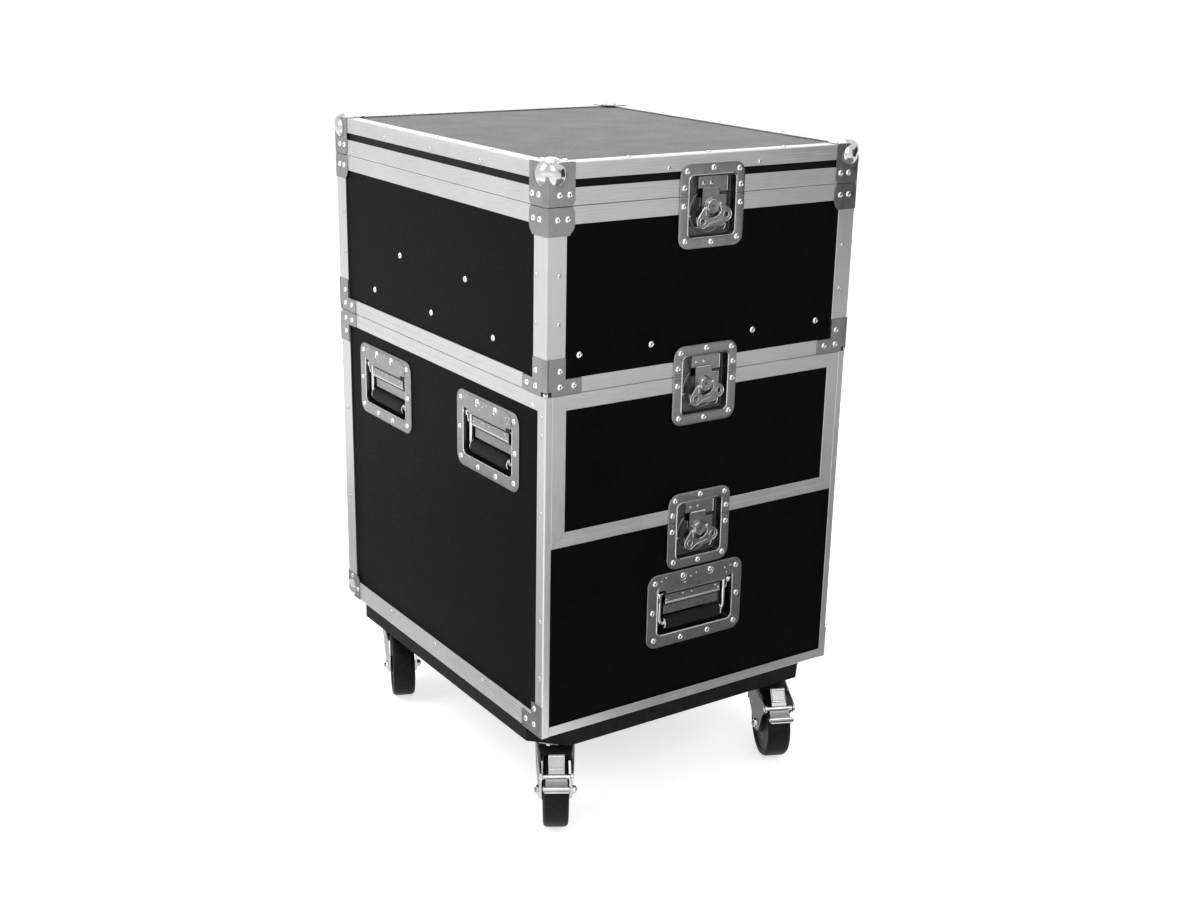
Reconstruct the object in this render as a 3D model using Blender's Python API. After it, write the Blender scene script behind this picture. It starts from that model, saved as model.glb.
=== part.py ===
"""Flight case on casters: a hinged lid on a stacking upper box, on a base with one drawer.

The front of the case faces -Y, +Z is up and the wheels stand on Z = 0. Lengths are in metres.
Each latch, handle and caster is modelled once in its own frame and placed by an empty. In a latch
or handle frame X runs to the right, Y into the case and Z up, with Y = 0 on the case's face.
"""

import math

import bmesh
import bpy
from mathutils import Matrix

# Case sections

CASE_WIDTH = 0.520
CASE_DEPTH = 0.615
BASE_HEIGHT = 0.492
UPPER_HEIGHT = 0.246
LID_HEIGHT = 0.055

# Sheet, panels and the gap kept between neighbours

GAP = 0.0003
SKIN = 0.0017
PLY = 0.009
FRONT_PLY = 0.012
PLATE = 0.0012

# Aluminium profile legs, as seen on the outside

ANGLE_LEG = 0.0305
LID_EDGE_LEG = 0.0215
LID_CLOSING_LEG = 0.0232
MID_CLOSING_LEG = 0.0214
BASE_SIDE_LEG = 0.0185
BASE_FRONT_LEG = 0.0115
BASE_BOTTOM_LEG = 0.0315
SILL_LEG = 0.0145
PANEL_FRAME_LEG = 0.0214
CLOSING_LIP = 0.010

# Inside of the case

SHELF_RISE = 0.2805
STRIP_RISE = 0.2792
STRIP_LEG = 0.0208
UPPER_FLOOR_RISE = 0.047
DRAWER_PLAY = 0.0015
TRAY_FLOOR_PLAY = 0.008
TRAY_HEIGHT = 0.200
TRAY_LENGTH = 0.520
TRAY_PLY = 0.009
SLIDE_WIDTH = 0.0125
SLIDE_HEIGHT = 0.045
SLIDE_SHEET = 0.0015
SLIDE_PLAY = 0.0008
SLIDE_RISE = 0.060

# Corner hardware

BALL_RADIUS = 0.021
BALL_INSET = 0.015
CORNER_LEG = 0.0414
LID_BRACE_DROP = 0.0369
BRACE_REACH = 0.056
BRACE_RISE = 0.050
FOOT_BRACE_REACH = 0.052
FOOT_BRACE_RISE = 0.048
FOOT_BRACE_LEG = 0.027

# Lid hinge

HINGE_LENGTH = 0.400
HINGE_LEAF = 0.020
HINGE_KNUCKLE_RADIUS = 0.003
HINGE_PIN_RADIUS = 0.0012
HINGE_PLAY = 0.0004
HINGE_KNUCKLES = 5

# Recessed butterfly latch

LATCH_WIDTH = 0.109
LATCH_ABOVE = 0.042
LATCH_BELOW = 0.071
LATCH_FLANGE = 0.0152
LATCH_RECESS = 0.0105
LATCH_CORNER = 0.016
LATCH_PAN_CORNER = 0.007
SPINDLE_DROP = 0.015
KNOB_RADIUS = 0.0093
KNOB_PROUD = 0.0052
SHANK_RADIUS = 0.005
SHANK_PLAY = 0.0004
HOOK_LIFT = 0.008
HOOK_WIDTH = 0.028
HOOK_RISE = 0.0095
HOOK_FRONT = 0.0020
HOOK_PLATE = 0.0016
HOOK_TAIL = 0.006
KEEPER_WIDTH = 0.049
KEEPER_LOW = 0.0045
KEEPER_HIGH = 0.0245
KEEPER_FRONT = 0.0042
WING_DROP = 0.0225
WING_NOTCH_RADIUS = 0.0155
WING_PIN_REACH = 0.0147
WING_EAR_X = 0.0200
WING_EAR_DROP = 0.0166
WING_EAR_RADIUS = 0.0098
WING_HOLE_RADIUS = 0.0038
WING_PLATE = 0.0016
WING_AXIS_PROUD = 0.0029
WING_TURN = math.radians(11)
WING_PIN_RADIUS = 0.0013
WING_KNUCKLE_RADIUS = 0.0026
WING_PLAY = 0.0007

# Recessed sprung handle

HANDLE_WIDTH = 0.1695
HANDLE_HEIGHT = 0.1126
HANDLE_SIDE_FLANGE = 0.0178
HANDLE_END_FLANGE = 0.0189
HANDLE_RECESS = 0.026
BAIL_HALF = 0.058
BAIL_RADIUS = 0.0035
BAIL_AXIS_RISE = 0.022
BAIL_AXIS_DEPTH = 0.007
BAIL_DROP = 0.046
GRIP_HALF_HEIGHT = 0.0105
GRIP_HALF_DEPTH = 0.0080
GRIP_LENGTH = 0.100
COVER_LOW = 0.0300
COVER_HIGH = 0.0530
COVER_WIDTH = 0.132

# Places of the handles and latches

SIDE_HANDLE_DROP = 0.0965
SIDE_HANDLE_Y = 0.156
DRAWER_HANDLE_RISE = 0.1477

# Caster board and casters

BOARD_THICKNESS = 0.027
BOARD_INSET = 0.006
BOARD_CORNER_CUT = 0.045
CASTER_HEIGHT = 0.130
CASTER_INSET = 0.0625
CASTER_TRAIL = 0.040
WHEEL_RADIUS = 0.052
WHEEL_WIDTH = 0.036
HUB_WIDTH = 0.040
HUB_RADIUS = 0.020
RIM_RADIUS = 0.038
FORK_SHEET = 0.003
FORK_PLAY = 0.0006
CROWN_RADIUS = 0.029
CROWN_THICKNESS = 0.005
CROWN_RISE = 0.110
RACE_RADIUS = 0.026
PLATE_SIZE = 0.082
PLATE_CORNER_CUT = 0.018
PLATE_THICKNESS = 0.003
AXLE_RADIUS = 0.0045
AXLE_HEAD_RADIUS = 0.0075
AXLE_HEAD = 0.005
PEDAL_PIVOT_BACK = 0.080
PEDAL_PIVOT_RISE = 0.0955
PEDAL_PIN_RADIUS = 0.0022
PEDAL_BARREL_RADIUS = 0.0040
PEDAL_SHEET = 0.0024
PEDAL_LIP_BACK = 0.013
PEDAL_LIP_DROP = 0.0135
PEDAL_LIP_THICKNESS = 0.006
PEDAL_TAB_RISE = 0.022
PEDAL_TAB_LEAN = 0.014
PEDAL_TAB_WIDTH = 0.022

# Levels and half sizes worked out from the sizes above

HALF_X = CASE_WIDTH / 2
HALF_Y = CASE_DEPTH / 2
BASE_Z = CASTER_HEIGHT + BOARD_THICKNESS
MID_Z = BASE_Z + BASE_HEIGHT
LID_Z = MID_Z + UPPER_HEIGHT
TOP_Z = LID_Z + LID_HEIGHT
INSET = SKIN + GAP
INNER = INSET + PLY
FLANGE = INNER + GAP + SKIN
DRAWER_TOP_Z = BASE_Z + STRIP_RISE - DRAWER_PLAY
STRIP_Z = BASE_Z + STRIP_RISE

# Swivel angle of each caster at rest, and whether it carries a brake

CASTERS = (
    ("front_left", -1, -1, math.radians(-31), True),
    ("front_right", 1, -1, math.radians(-24), True),
    ("rear_left", -1, 1, math.radians(-23), False),
    ("rear_right", 1, 1, math.radians(-26), False),
)

# Shift that puts the whole outline's middle on the origin

PEDAL_REACH = PEDAL_PIVOT_BACK + PEDAL_LIP_BACK + PEDAL_LIP_THICKNESS
PEDAL_TURN = CASTERS[1][3]
PEDAL_STANDOFF = PEDAL_REACH * math.cos(PEDAL_TURN) - HUB_WIDTH / 2 * math.sin(PEDAL_TURN)
FRONT_REACH = HALF_Y - CASTER_INSET + PEDAL_STANDOFF
REAR_REACH = HALF_Y + GAP + 2 * HINGE_KNUCKLE_RADIUS
CENTRE_SHIFT = (FRONT_REACH - REAR_REACH) / 2

ROUND_STEPS = 12
AXLE_SIDES = 8
CORNER_STEPS = 3


def material(name, colour, roughness, metallic):
    """Plain Principled material."""
    made = bpy.data.materials.new(name)
    made.use_nodes = True
    shader = made.node_tree.nodes["Principled BSDF"]
    shader.inputs["Base Color"].default_value = (*colour, 1.0)
    shader.inputs["Roughness"].default_value = roughness
    shader.inputs["Metallic"].default_value = metallic
    made.diffuse_color = (*colour, 1.0)
    return made


def mesh_from(bm, smooth_angle=None):
    """Mesh of a finished bmesh, shaded smooth below the given angle."""
    bmesh.ops.recalc_face_normals(bm, faces=bm.faces[:])
    mesh = bpy.data.meshes.new("form")
    bm.to_mesh(mesh)
    bm.free()
    if smooth_angle is not None:
        mesh.shade_smooth()
        mesh.set_sharp_from_angle(angle=math.radians(smooth_angle))
    return mesh


def box(low, high):
    """Box between two corners."""
    bm = bmesh.new()
    middle = [(a + b) / 2 for a, b in zip(low, high)]
    size = [b - a for a, b in zip(low, high)]
    place = Matrix.Translation(middle) @ Matrix.Diagonal((*size, 1.0))
    bmesh.ops.create_cube(bm, size=1.0, matrix=place)
    return mesh_from(bm)


def boxes(corners):
    """Several separate boxes as one cutter mesh."""
    bm = bmesh.new()
    for low, high in corners:
        middle = [(a + b) / 2 for a, b in zip(low, high)]
        size = [b - a for a, b in zip(low, high)]
        place = Matrix.Translation(middle) @ Matrix.Diagonal((*size, 1.0))
        bmesh.ops.create_cube(bm, size=1.0, matrix=place)
    return mesh_from(bm)


def joined_loops(loops, closed=False, smooth_angle=None):
    """Solid whose skin runs from loop to loop, capped at both ends or closed into a ring."""
    bm = bmesh.new()
    rows = [[bm.verts.new(point) for point in loop] for loop in loops]
    pairs = list(zip(rows, rows[1:]))
    if closed:
        pairs.append((rows[-1], rows[0]))
    else:
        bm.faces.new(rows[0])
        bm.faces.new(rows[-1])
    for first, second in pairs:
        count = len(first)
        for k in range(count):
            after = (k + 1) % count
            bm.faces.new((first[k], first[after], second[after], second[k]))
    return mesh_from(bm, smooth_angle)


def ring(profile, half_x=HALF_X, half_y=HALF_Y):
    """Profile of (inset, height) points carried round a rectangle with mitred corners."""
    signs = ((-1, -1), (1, -1), (1, 1), (-1, 1))
    loops = []
    for sign_x, sign_y in signs:
        loops.append([(sign_x * (half_x - inset), sign_y * (half_y - inset), z) for inset, z in profile])
    return joined_loops(loops, closed=True)


def turned(profile, sides, axis="Y", closed=False, phase=0.0, smooth_angle=35):
    """Solid turned from (radius, distance along the axis) points."""
    loops = []
    for radius, along in profile:
        loop = []
        for k in range(sides):
            angle = phase + 2 * math.pi * k / sides
            a = radius * math.cos(angle)
            b = radius * math.sin(angle)
            loop.append({"X": (along, a, b), "Y": (a, along, b), "Z": (a, b, along)}[axis])
        loops.append(loop)
    return joined_loops(loops, closed=closed, smooth_angle=smooth_angle)


def rod(radius, low, high, sides, axis="X"):
    """Plain round bar."""
    return turned([(radius, low), (radius, high)], sides, axis=axis)


def prism(outline, low, high, plane, holes=(), smooth_angle=None):
    """Flat outline with holes, drawn in a plane and extruded square to it."""
    place = {
        "XZ": lambda a, b, depth: (a, depth, b),
        "YZ": lambda a, b, depth: (depth, a, b),
        "XY": lambda a, b, depth: (a, b, depth),
    }[plane]
    bm = bmesh.new()
    for loop in (outline, *holes):
        verts = [bm.verts.new(place(a, b, low)) for a, b in loop]
        for first, second in zip(verts, verts[1:] + verts[:1]):
            bm.edges.new((first, second))
    if holes:
        normal = place(0, 0, 1)
        bmesh.ops.triangle_fill(bm, use_beauty=True, edges=bm.edges[:], normal=normal)
    else:
        bm.faces.new(bm.verts[:])
    grown = bmesh.ops.extrude_face_region(bm, geom=bm.faces[:])
    moved = [item for item in grown["geom"] if isinstance(item, bmesh.types.BMVert)]
    bmesh.ops.translate(bm, verts=moved, vec=place(0, 0, high - low))
    return mesh_from(bm, smooth_angle)


def arc(centre_a, centre_b, radius, start, end, steps):
    """Points along an arc, angles in degrees."""
    points = []
    for k in range(steps + 1):
        angle = math.radians(start + (end - start) * k / steps)
        points.append((centre_a + radius * math.cos(angle), centre_b + radius * math.sin(angle)))
    return points


def rounded_rectangle(low_a, high_a, low_b, high_b, radius):
    """Outline of a rectangle with round corners."""
    outline = []
    corners = (
        (high_a - radius, high_b - radius, 0),
        (low_a + radius, high_b - radius, 90),
        (low_a + radius, low_b + radius, 180),
        (high_a - radius, low_b + radius, 270),
    )
    for centre_a, centre_b, start in corners:
        outline += arc(centre_a, centre_b, radius, start, start + 90, CORNER_STEPS)
    return outline


def cut_rectangle(half_a, half_b, cut):
    """Outline of a rectangle with its corners cut off."""
    return [
        (half_a, cut - half_b),
        (half_a, half_b - cut),
        (half_a - cut, half_b),
        (cut - half_a, half_b),
        (-half_a, half_b - cut),
        (-half_a, cut - half_b),
        (cut - half_a, -half_b),
        (half_a - cut, -half_b),
    ]


def combine(first, second, operation):
    """Mesh left by a Boolean step between two meshes."""
    host = bpy.data.objects.new("host", first)
    tool = bpy.data.objects.new("tool", second)
    for item in (host, tool):
        bpy.context.scene.collection.objects.link(item)
    step = host.modifiers.new("step", "BOOLEAN")
    step.operation = operation
    step.solver = "EXACT"
    step.object = tool
    graph = bpy.context.evaluated_depsgraph_get()
    result = bpy.data.meshes.new_from_object(host.evaluated_get(graph))
    for item in (host, tool):
        bpy.data.objects.remove(item)
    return result


def fused(first, *others):
    """One solid from overlapping solids."""
    result = first
    for other in others:
        result = combine(result, other, "UNION")
    return result


def carved(first, *others):
    """Solid with the other solids cut away."""
    result = first
    for other in others:
        result = combine(result, other, "DIFFERENCE")
    return result


def case_frame():
    """Empty at the middle of the case's footprint, which carries everything."""
    return bpy.data.objects["case"]


def place(name, mesh, finish, parent=None, location=(0, 0, 0)):
    """Named object for one sub-part."""
    made = bpy.data.objects.new(name, mesh)
    bpy.context.scene.collection.objects.link(made)
    if not mesh.materials:
        mesh.name = name
        mesh.materials.append(finish)
    made.parent = parent or case_frame()
    made.location = location
    return made


def empty(name, location, turn=0.0, parent=None):
    """Empty that carries the pieces of one assembly."""
    made = bpy.data.objects.new(name, None)
    made.empty_display_size = 0.03
    bpy.context.scene.collection.objects.link(made)
    made.parent = parent or case_frame()
    made.location = location
    made.rotation_euler = (0, 0, turn)
    return made


def tool(name, mesh):
    """Hidden helper for a Boolean modifier."""
    made = bpy.data.objects.new(name, mesh)
    bpy.context.scene.collection.objects.link(made)
    made.parent = case_frame()
    made.hide_render = True
    made.display_type = "WIRE"
    return made


def boolean(target, helper, operation="DIFFERENCE"):
    """Boolean modifier that stays on the object."""
    step = target.modifiers.new(helper.name, "BOOLEAN")
    step.operation = operation
    step.solver = "EXACT"
    step.object = helper


def latch_rectangle(grow=0.0):
    """Pan of the latch dish, grown all round."""
    half = LATCH_WIDTH / 2 - LATCH_FLANGE + grow
    return (-half, half, LATCH_FLANGE - LATCH_BELOW - grow, LATCH_ABOVE - LATCH_FLANGE + grow)


def handle_rectangle(grow=0.0):
    """Pan of the handle dish, grown all round."""
    half = HANDLE_WIDTH / 2 - HANDLE_SIDE_FLANGE + grow
    rise = HANDLE_HEIGHT / 2 - HANDLE_END_FLANGE + grow
    return (-half, half, -rise, rise)


def dish(outer, outer_radius, pan, pan_radius, recess):
    """Pressed dish: a flange round a sunk pan, in one thickness of sheet."""
    grown = (pan[0] - PLATE, pan[1] + PLATE, pan[2] - PLATE, pan[3] + PLATE)
    back = -GAP
    front = -GAP - PLATE
    steps = (
        (grown, pan_radius + PLATE, recess + PLATE),
        (grown, pan_radius + PLATE, back),
        (outer, outer_radius, back),
        (outer, outer_radius, front),
        (pan, pan_radius, front),
        (pan, pan_radius, recess),
    )
    loops = []
    for rectangle, radius, depth in steps:
        loops.append([(x, depth, z) for x, z in rounded_rectangle(*rectangle, radius)])
    return joined_loops(loops, smooth_angle=35)


def half_of(mesh, height, above):
    """The part of a dish above or below a level, closed where it is cut."""
    bm = bmesh.new()
    bm.from_mesh(mesh)
    cut = bmesh.ops.bisect_plane(
        bm,
        geom=bm.verts[:] + bm.edges[:] + bm.faces[:],
        plane_co=(0, 0, height),
        plane_no=(0, 0, 1),
        clear_inner=above,
        clear_outer=not above,
    )
    edges = [item for item in cut["geom_cut"] if isinstance(item, bmesh.types.BMEdge)]
    bmesh.ops.holes_fill(bm, edges=edges)
    return mesh_from(bm, smooth_angle=35)


def latch_dish():
    """Whole latch dish, before it is parted at the seam."""
    half = LATCH_WIDTH / 2
    outer = (-half, half, -LATCH_BELOW, LATCH_ABOVE)
    return dish(outer, LATCH_CORNER, latch_rectangle(), LATCH_PAN_CORNER, LATCH_RECESS)


def keeper_dish_mesh():
    """Upper half of the latch dish with the folded keeper plate on its floor."""
    dish_half = half_of(latch_dish(), GAP, above=True)
    half = KEEPER_WIDTH / 2
    sunk = LATCH_RECESS + PLATE / 2
    outline = [
        (-half, KEEPER_LOW),
        (half, KEEPER_LOW),
        (half, KEEPER_HIGH - 0.003),
        (half - 0.003, KEEPER_HIGH),
        (-half + 0.003, KEEPER_HIGH),
        (-half, KEEPER_HIGH - 0.003),
    ]
    plate = prism(outline, KEEPER_FRONT, sunk, "XZ")
    wall = 0.0016
    throat_half = half - wall
    throat_low = (-throat_half, KEEPER_FRONT + wall, KEEPER_LOW - 0.01)
    throat = box(throat_low, (throat_half, LATCH_RECESS, KEEPER_HIGH - 0.006))
    keeper = carved(plate, throat)
    return fused(dish_half, keeper)


def cam_dish_mesh():
    """Lower half of the latch dish with the spindle hole."""
    dish_half = half_of(latch_dish(), -GAP, above=False)
    hole = rod(SHANK_RADIUS + SHANK_PLAY, LATCH_RECESS - 0.005, LATCH_RECESS + 0.005, ROUND_STEPS, axis="Y")
    hole.transform(Matrix.Translation((0, 0, -SPINDLE_DROP)))
    return carved(dish_half, hole)


def hook_mesh():
    """Hook plate: slotted round the spindle, with its nose turned in above the keeper's lip."""
    half = HOOK_WIDTH / 2
    top = HOOK_RISE
    slot = SHANK_RADIUS + SHANK_PLAY
    low = -SPINDLE_DROP - slot - HOOK_LIFT - HOOK_TAIL
    outline = [
        (-half + 0.003, low),
        (half - 0.003, low),
        (half, low + 0.003),
        (half, top),
        (-half, top),
        (-half, low + 0.003),
    ]
    opening = arc(0, -SPINDLE_DROP, slot, 0, 180, 6) + arc(0, -SPINDLE_DROP - HOOK_LIFT, slot, 180, 360, 6)
    plate = prism(outline, HOOK_FRONT, HOOK_FRONT + HOOK_PLATE, "XZ", holes=(opening,))
    lip = [
        (HOOK_FRONT - 0.0006, top - 0.0022),
        (HOOK_FRONT + HOOK_PLATE / 2, top - 0.0022),
        (HOOK_FRONT + HOOK_PLATE / 2, top + 0.0004),
        (HOOK_FRONT - 0.0006, top + 0.0004),
    ]
    bead = prism(lip, -half + 0.001, half - 0.001, "YZ")
    return fused(plate, bead)


def spindle_mesh():
    """Spindle with its stepped knob, bearing collar and retaining washer, about its own axis."""
    knob = KNOB_RADIUS
    hook_back = HOOK_FRONT + HOOK_PLATE
    floor_back = LATCH_RECESS + PLATE
    profile = [
        (knob - 0.0012, -KNOB_PROUD),
        (knob, -KNOB_PROUD + 0.0010),
        (knob, HOOK_FRONT - GAP),
        (SHANK_RADIUS, HOOK_FRONT - GAP),
        (SHANK_RADIUS, hook_back + GAP),
        (knob - 0.0015, hook_back + GAP),
        (knob - 0.0015, LATCH_RECESS - GAP),
        (SHANK_RADIUS, LATCH_RECESS - GAP),
        (SHANK_RADIUS, floor_back + GAP),
        (knob - 0.0015, floor_back + GAP),
        (knob - 0.0015, floor_back + GAP + PLATE),
    ]
    body = turned(profile, ROUND_STEPS)
    pin = rod(WING_PIN_RADIUS, -WING_PIN_REACH, WING_PIN_REACH, 6)
    pin.transform(Matrix.Translation((0, -WING_AXIS_PROUD, 0)))
    return fused(body, pin)


def wing_mesh():
    """Butterfly wing about its fold axis: two holed ears and a bridge that clears the knob."""
    clear = KNOB_RADIUS + WING_PLAY
    inner = clear + 0.0002
    top = 0.0026
    outline = [(inner, top), (inner + 0.004, top)]
    outline += arc(WING_EAR_X, -WING_EAR_DROP, WING_EAR_RADIUS, 50, -110, 6)
    outline += [(0.009, -WING_DROP)]
    left = [(-x, z) for x, z in reversed(outline)]
    notch = arc(0, 0, WING_NOTCH_RADIUS, 215, 325, 4)
    outline = outline + left + notch
    plate_half = WING_PLATE / 2
    ears = []
    for side in (-1, 1):
        hole = arc(side * WING_EAR_X, -WING_EAR_DROP, WING_HOLE_RADIUS, 0, 360, 6)[:-1]
        ears.append(hole)
    plate = prism(outline, -plate_half, plate_half, "XZ", holes=ears)
    outer = inner + 0.0040
    knuckles = [rod(WING_KNUCKLE_RADIUS, side * inner, side * outer, 6) for side in (-1, 1)]
    bore_reach = WING_PIN_REACH + GAP
    bore = rod(WING_PIN_RADIUS + 0.0004, -bore_reach, bore_reach, 6)
    return carved(fused(plate, *knuckles), bore)


def handle_dish_mesh():
    """Handle dish with its pressed cover plate over the bail's hinge."""
    half = HANDLE_WIDTH / 2
    rise = HANDLE_HEIGHT / 2
    pan = dish((-half, half, -rise, rise), LATCH_CORNER, handle_rectangle(), LATCH_PAN_CORNER, HANDLE_RECESS)
    cover_half = COVER_WIDTH / 2
    cut = 0.010
    outline = [
        (-cover_half, COVER_LOW + 0.004),
        (-cover_half + 0.006, COVER_LOW),
        (cover_half - 0.006, COVER_LOW),
        (cover_half, COVER_LOW + 0.004),
        (cover_half, COVER_HIGH - cut),
        (cover_half - cut, COVER_HIGH),
        (-cover_half + cut, COVER_HIGH),
        (-cover_half, COVER_HIGH - cut),
    ]
    front = -GAP - PLATE
    cover = prism(outline, front - PLATE * 0.8, front + PLATE / 2, "XZ")
    return fused(pan, cover)


def bail_mesh():
    """Bail about its hinge axis: hinge rod, two legs and the round rubber grip."""
    pan_half = handle_rectangle()[1]
    axle = rod(BAIL_RADIUS, -pan_half + GAP, pan_half - GAP, AXLE_SIDES)
    legs = []
    for side in (-1, 1):
        leg = rod(BAIL_RADIUS * 0.92, -BAIL_DROP, 0.0, 6, axis="Z")
        leg.transform(Matrix.Translation((side * BAIL_HALF, 0, 0)))
        legs.append(leg)
    bar = rod(BAIL_RADIUS, -BAIL_HALF - BAIL_RADIUS, BAIL_HALF + BAIL_RADIUS, AXLE_SIDES)
    bar.transform(Matrix.Translation((0, 0, -BAIL_DROP)))
    end = 0.003
    half = GRIP_LENGTH / 2
    grip = turned([(0.82, -half), (1.0, -half + end), (1.0, half - end), (0.82, half)], 10, axis="X")
    grip.transform(Matrix.Diagonal((1.0, GRIP_HALF_DEPTH, GRIP_HALF_HEIGHT, 1.0)))
    grip.transform(Matrix.Translation((0, 0, -BAIL_DROP)))
    return fused(axle, *legs, bar, grip)


def caster_plate_mesh():
    """Top plate with the fixed race of the swivel bearing, about the swivel axis."""
    top = CASTER_HEIGHT - GAP
    race_low = CROWN_RISE + CROWN_THICKNESS + FORK_PLAY
    outline = cut_rectangle(PLATE_SIZE / 2, PLATE_SIZE / 2, PLATE_CORNER_CUT)
    plate = prism(outline, top - PLATE_THICKNESS, top, "XY")
    race = turned(
        [
            (RACE_RADIUS - 0.003, race_low),
            (RACE_RADIUS, race_low + 0.003),
            (RACE_RADIUS, top - PLATE_THICKNESS / 2),
        ],
        16,
        axis="Z",
    )
    return fused(plate, race)


def fork_mesh(braked):
    """Swivel fork about its own axis: crown, two tapering legs, axle bolt and, if braked, the pedal pin."""
    inside = HUB_WIDTH / 2 + FORK_PLAY
    outside = inside + FORK_SHEET
    crown_mid = CROWN_RISE + CROWN_THICKNESS / 2
    crown = turned(
        [
            (CROWN_RADIUS, CROWN_RISE),
            (CROWN_RADIUS, CROWN_RISE + CROWN_THICKNESS - 0.0015),
            (CROWN_RADIUS - 0.003, CROWN_RISE + CROWN_THICKNESS),
        ],
        16,
        axis="Z",
    )
    axle_y = -CASTER_TRAIL
    outline = [(0.012, crown_mid), (-0.014, crown_mid)]
    if braked:
        outline += [(-0.040, crown_mid - 0.002)]
        outline += arc(-PEDAL_PIVOT_BACK, PEDAL_PIVOT_RISE, 0.0065, 80, 280, 5)
        outline += [(-0.062, 0.074)]
    else:
        outline += [(-0.046, 0.098), (-0.056, 0.078)]
    outline += arc(axle_y, WHEEL_RADIUS, 0.0125, 190, 360, 6)
    outline += [(-0.012, 0.076), (0.006, 0.094)]
    solids = [crown]
    for low, high in ((-outside, -inside), (inside, outside)):
        solids.append(prism(outline, low, high, "YZ"))
    axle = rod(AXLE_RADIUS, -outside - 0.001, outside + 0.001, AXLE_SIDES)
    head_low = outside - 0.0005
    heads = [rod(AXLE_HEAD_RADIUS, side * head_low, side * (outside + AXLE_HEAD), 6) for side in (-1, 1)]
    for piece in (axle, *heads):
        piece.transform(Matrix.Translation((0, axle_y, WHEEL_RADIUS)))
        solids.append(piece)
    if braked:
        pin = rod(PEDAL_PIN_RADIUS, -outside + 0.001, outside - 0.001, 8)
        pin.transform(Matrix.Translation((0, -PEDAL_PIVOT_BACK, PEDAL_PIVOT_RISE)))
        solids.append(pin)
    return fused(*solids)


def wheel_mesh():
    """Wheel about its axle: round-shouldered tread on a stepped, bored hub."""
    sides = 24
    flat = 1 / math.cos(math.pi / sides)
    half = WHEEL_WIDTH / 2
    hub = HUB_WIDTH / 2
    bore = AXLE_RADIUS + 0.0005
    profile = [
        (bore, -hub),
        (HUB_RADIUS - 0.006, -hub),
        (HUB_RADIUS, -half + 0.004),
        (RIM_RADIUS, -half + 0.004),
        (WHEEL_RADIUS * flat - 0.005, -half),
        (WHEEL_RADIUS * flat, -half + 0.007),
    ]
    mirrored = [(radius, -along) for radius, along in reversed(profile)]
    phase = math.pi / sides - math.pi / 2
    return turned(profile + mirrored, sides, axis="X", closed=True, phase=phase)


def pedal_mesh():
    """Brake pedal about its pivot: bored barrel, foot lip and the upright release tab."""
    half = HUB_WIDTH / 2
    back = -PEDAL_LIP_BACK
    drop = -PEDAL_LIP_DROP
    sheet = PEDAL_SHEET
    outline = arc(0, 0, PEDAL_BARREL_RADIUS, 155, -100, 8)
    outline += [
        (back, drop - PEDAL_LIP_THICKNESS / 2),
        (back - PEDAL_LIP_THICKNESS, drop),
        (back - PEDAL_LIP_THICKNESS / 2, drop + PEDAL_LIP_THICKNESS / 2),
        (back, drop + PEDAL_LIP_THICKNESS / 2),
    ]
    hole = arc(0, 0, PEDAL_PIN_RADIUS + 0.0004, 0, 360, 8)[:-1]
    foot = prism(outline, -half, half, "YZ", holes=(hole,))
    low = PEDAL_BARREL_RADIUS - 0.0012
    tab_outline = [
        (-0.0006, low),
        (sheet - 0.0006, low),
        (PEDAL_TAB_LEAN + 0.0006, PEDAL_TAB_RISE - 0.0012),
        (PEDAL_TAB_LEAN - 0.0006, PEDAL_TAB_RISE),
        (PEDAL_TAB_LEAN - sheet, PEDAL_TAB_RISE - 0.0008),
    ]
    tab = prism(tab_outline, -PEDAL_TAB_WIDTH / 2, PEDAL_TAB_WIDTH / 2, "YZ")
    return fused(foot, tab)


def closing_profile(base, leg, direction):
    """Closing section round the edge of a panel: outer leg, end flange and inner lip."""
    points = [
        (0.0, 0.0),
        (0.0, leg),
        (SKIN, leg),
        (SKIN, SKIN),
        (FLANGE - SKIN, SKIN),
        (FLANGE - SKIN, CLOSING_LIP),
        (FLANGE, CLOSING_LIP),
        (FLANGE, 0.0),
    ]
    return [(inset, base + direction * z) for inset, z in points]


def corner_boxes(reach, low, high, inward, outward=PLATE, corners=((-1, -1), (1, -1), (1, 1), (-1, 1))):
    """Bent plates round the case's corners, as L sections in plan."""
    bm = bmesh.new()
    for sign_x, sign_y in corners:
        outline = [
            (-outward, -outward),
            (reach, -outward),
            (reach, inward),
            (inward, inward),
            (inward, reach),
            (-outward, reach),
        ]
        rows = []
        for z in (low, high):
            rows.append([bm.verts.new((sign_x * (HALF_X - a), sign_y * (HALF_Y - b), z)) for a, b in outline])
        bm.faces.new(rows[0])
        bm.faces.new(rows[1])
        for k in range(len(outline)):
            after = (k + 1) % len(outline)
            bm.faces.new((rows[0][k], rows[0][after], rows[1][after], rows[1][k]))
    return mesh_from(bm)


def balls(level, corners):
    """Corner balls, centred inside the case's corners."""
    bm = bmesh.new()
    for sign_x, sign_y in corners:
        middle = (sign_x * (HALF_X - BALL_INSET), sign_y * (HALF_Y - BALL_INSET), level)
        bmesh.ops.create_uvsphere(
            bm, u_segments=16, v_segments=10, radius=BALL_RADIUS, matrix=Matrix.Translation(middle)
        )
    return mesh_from(bm)


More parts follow.
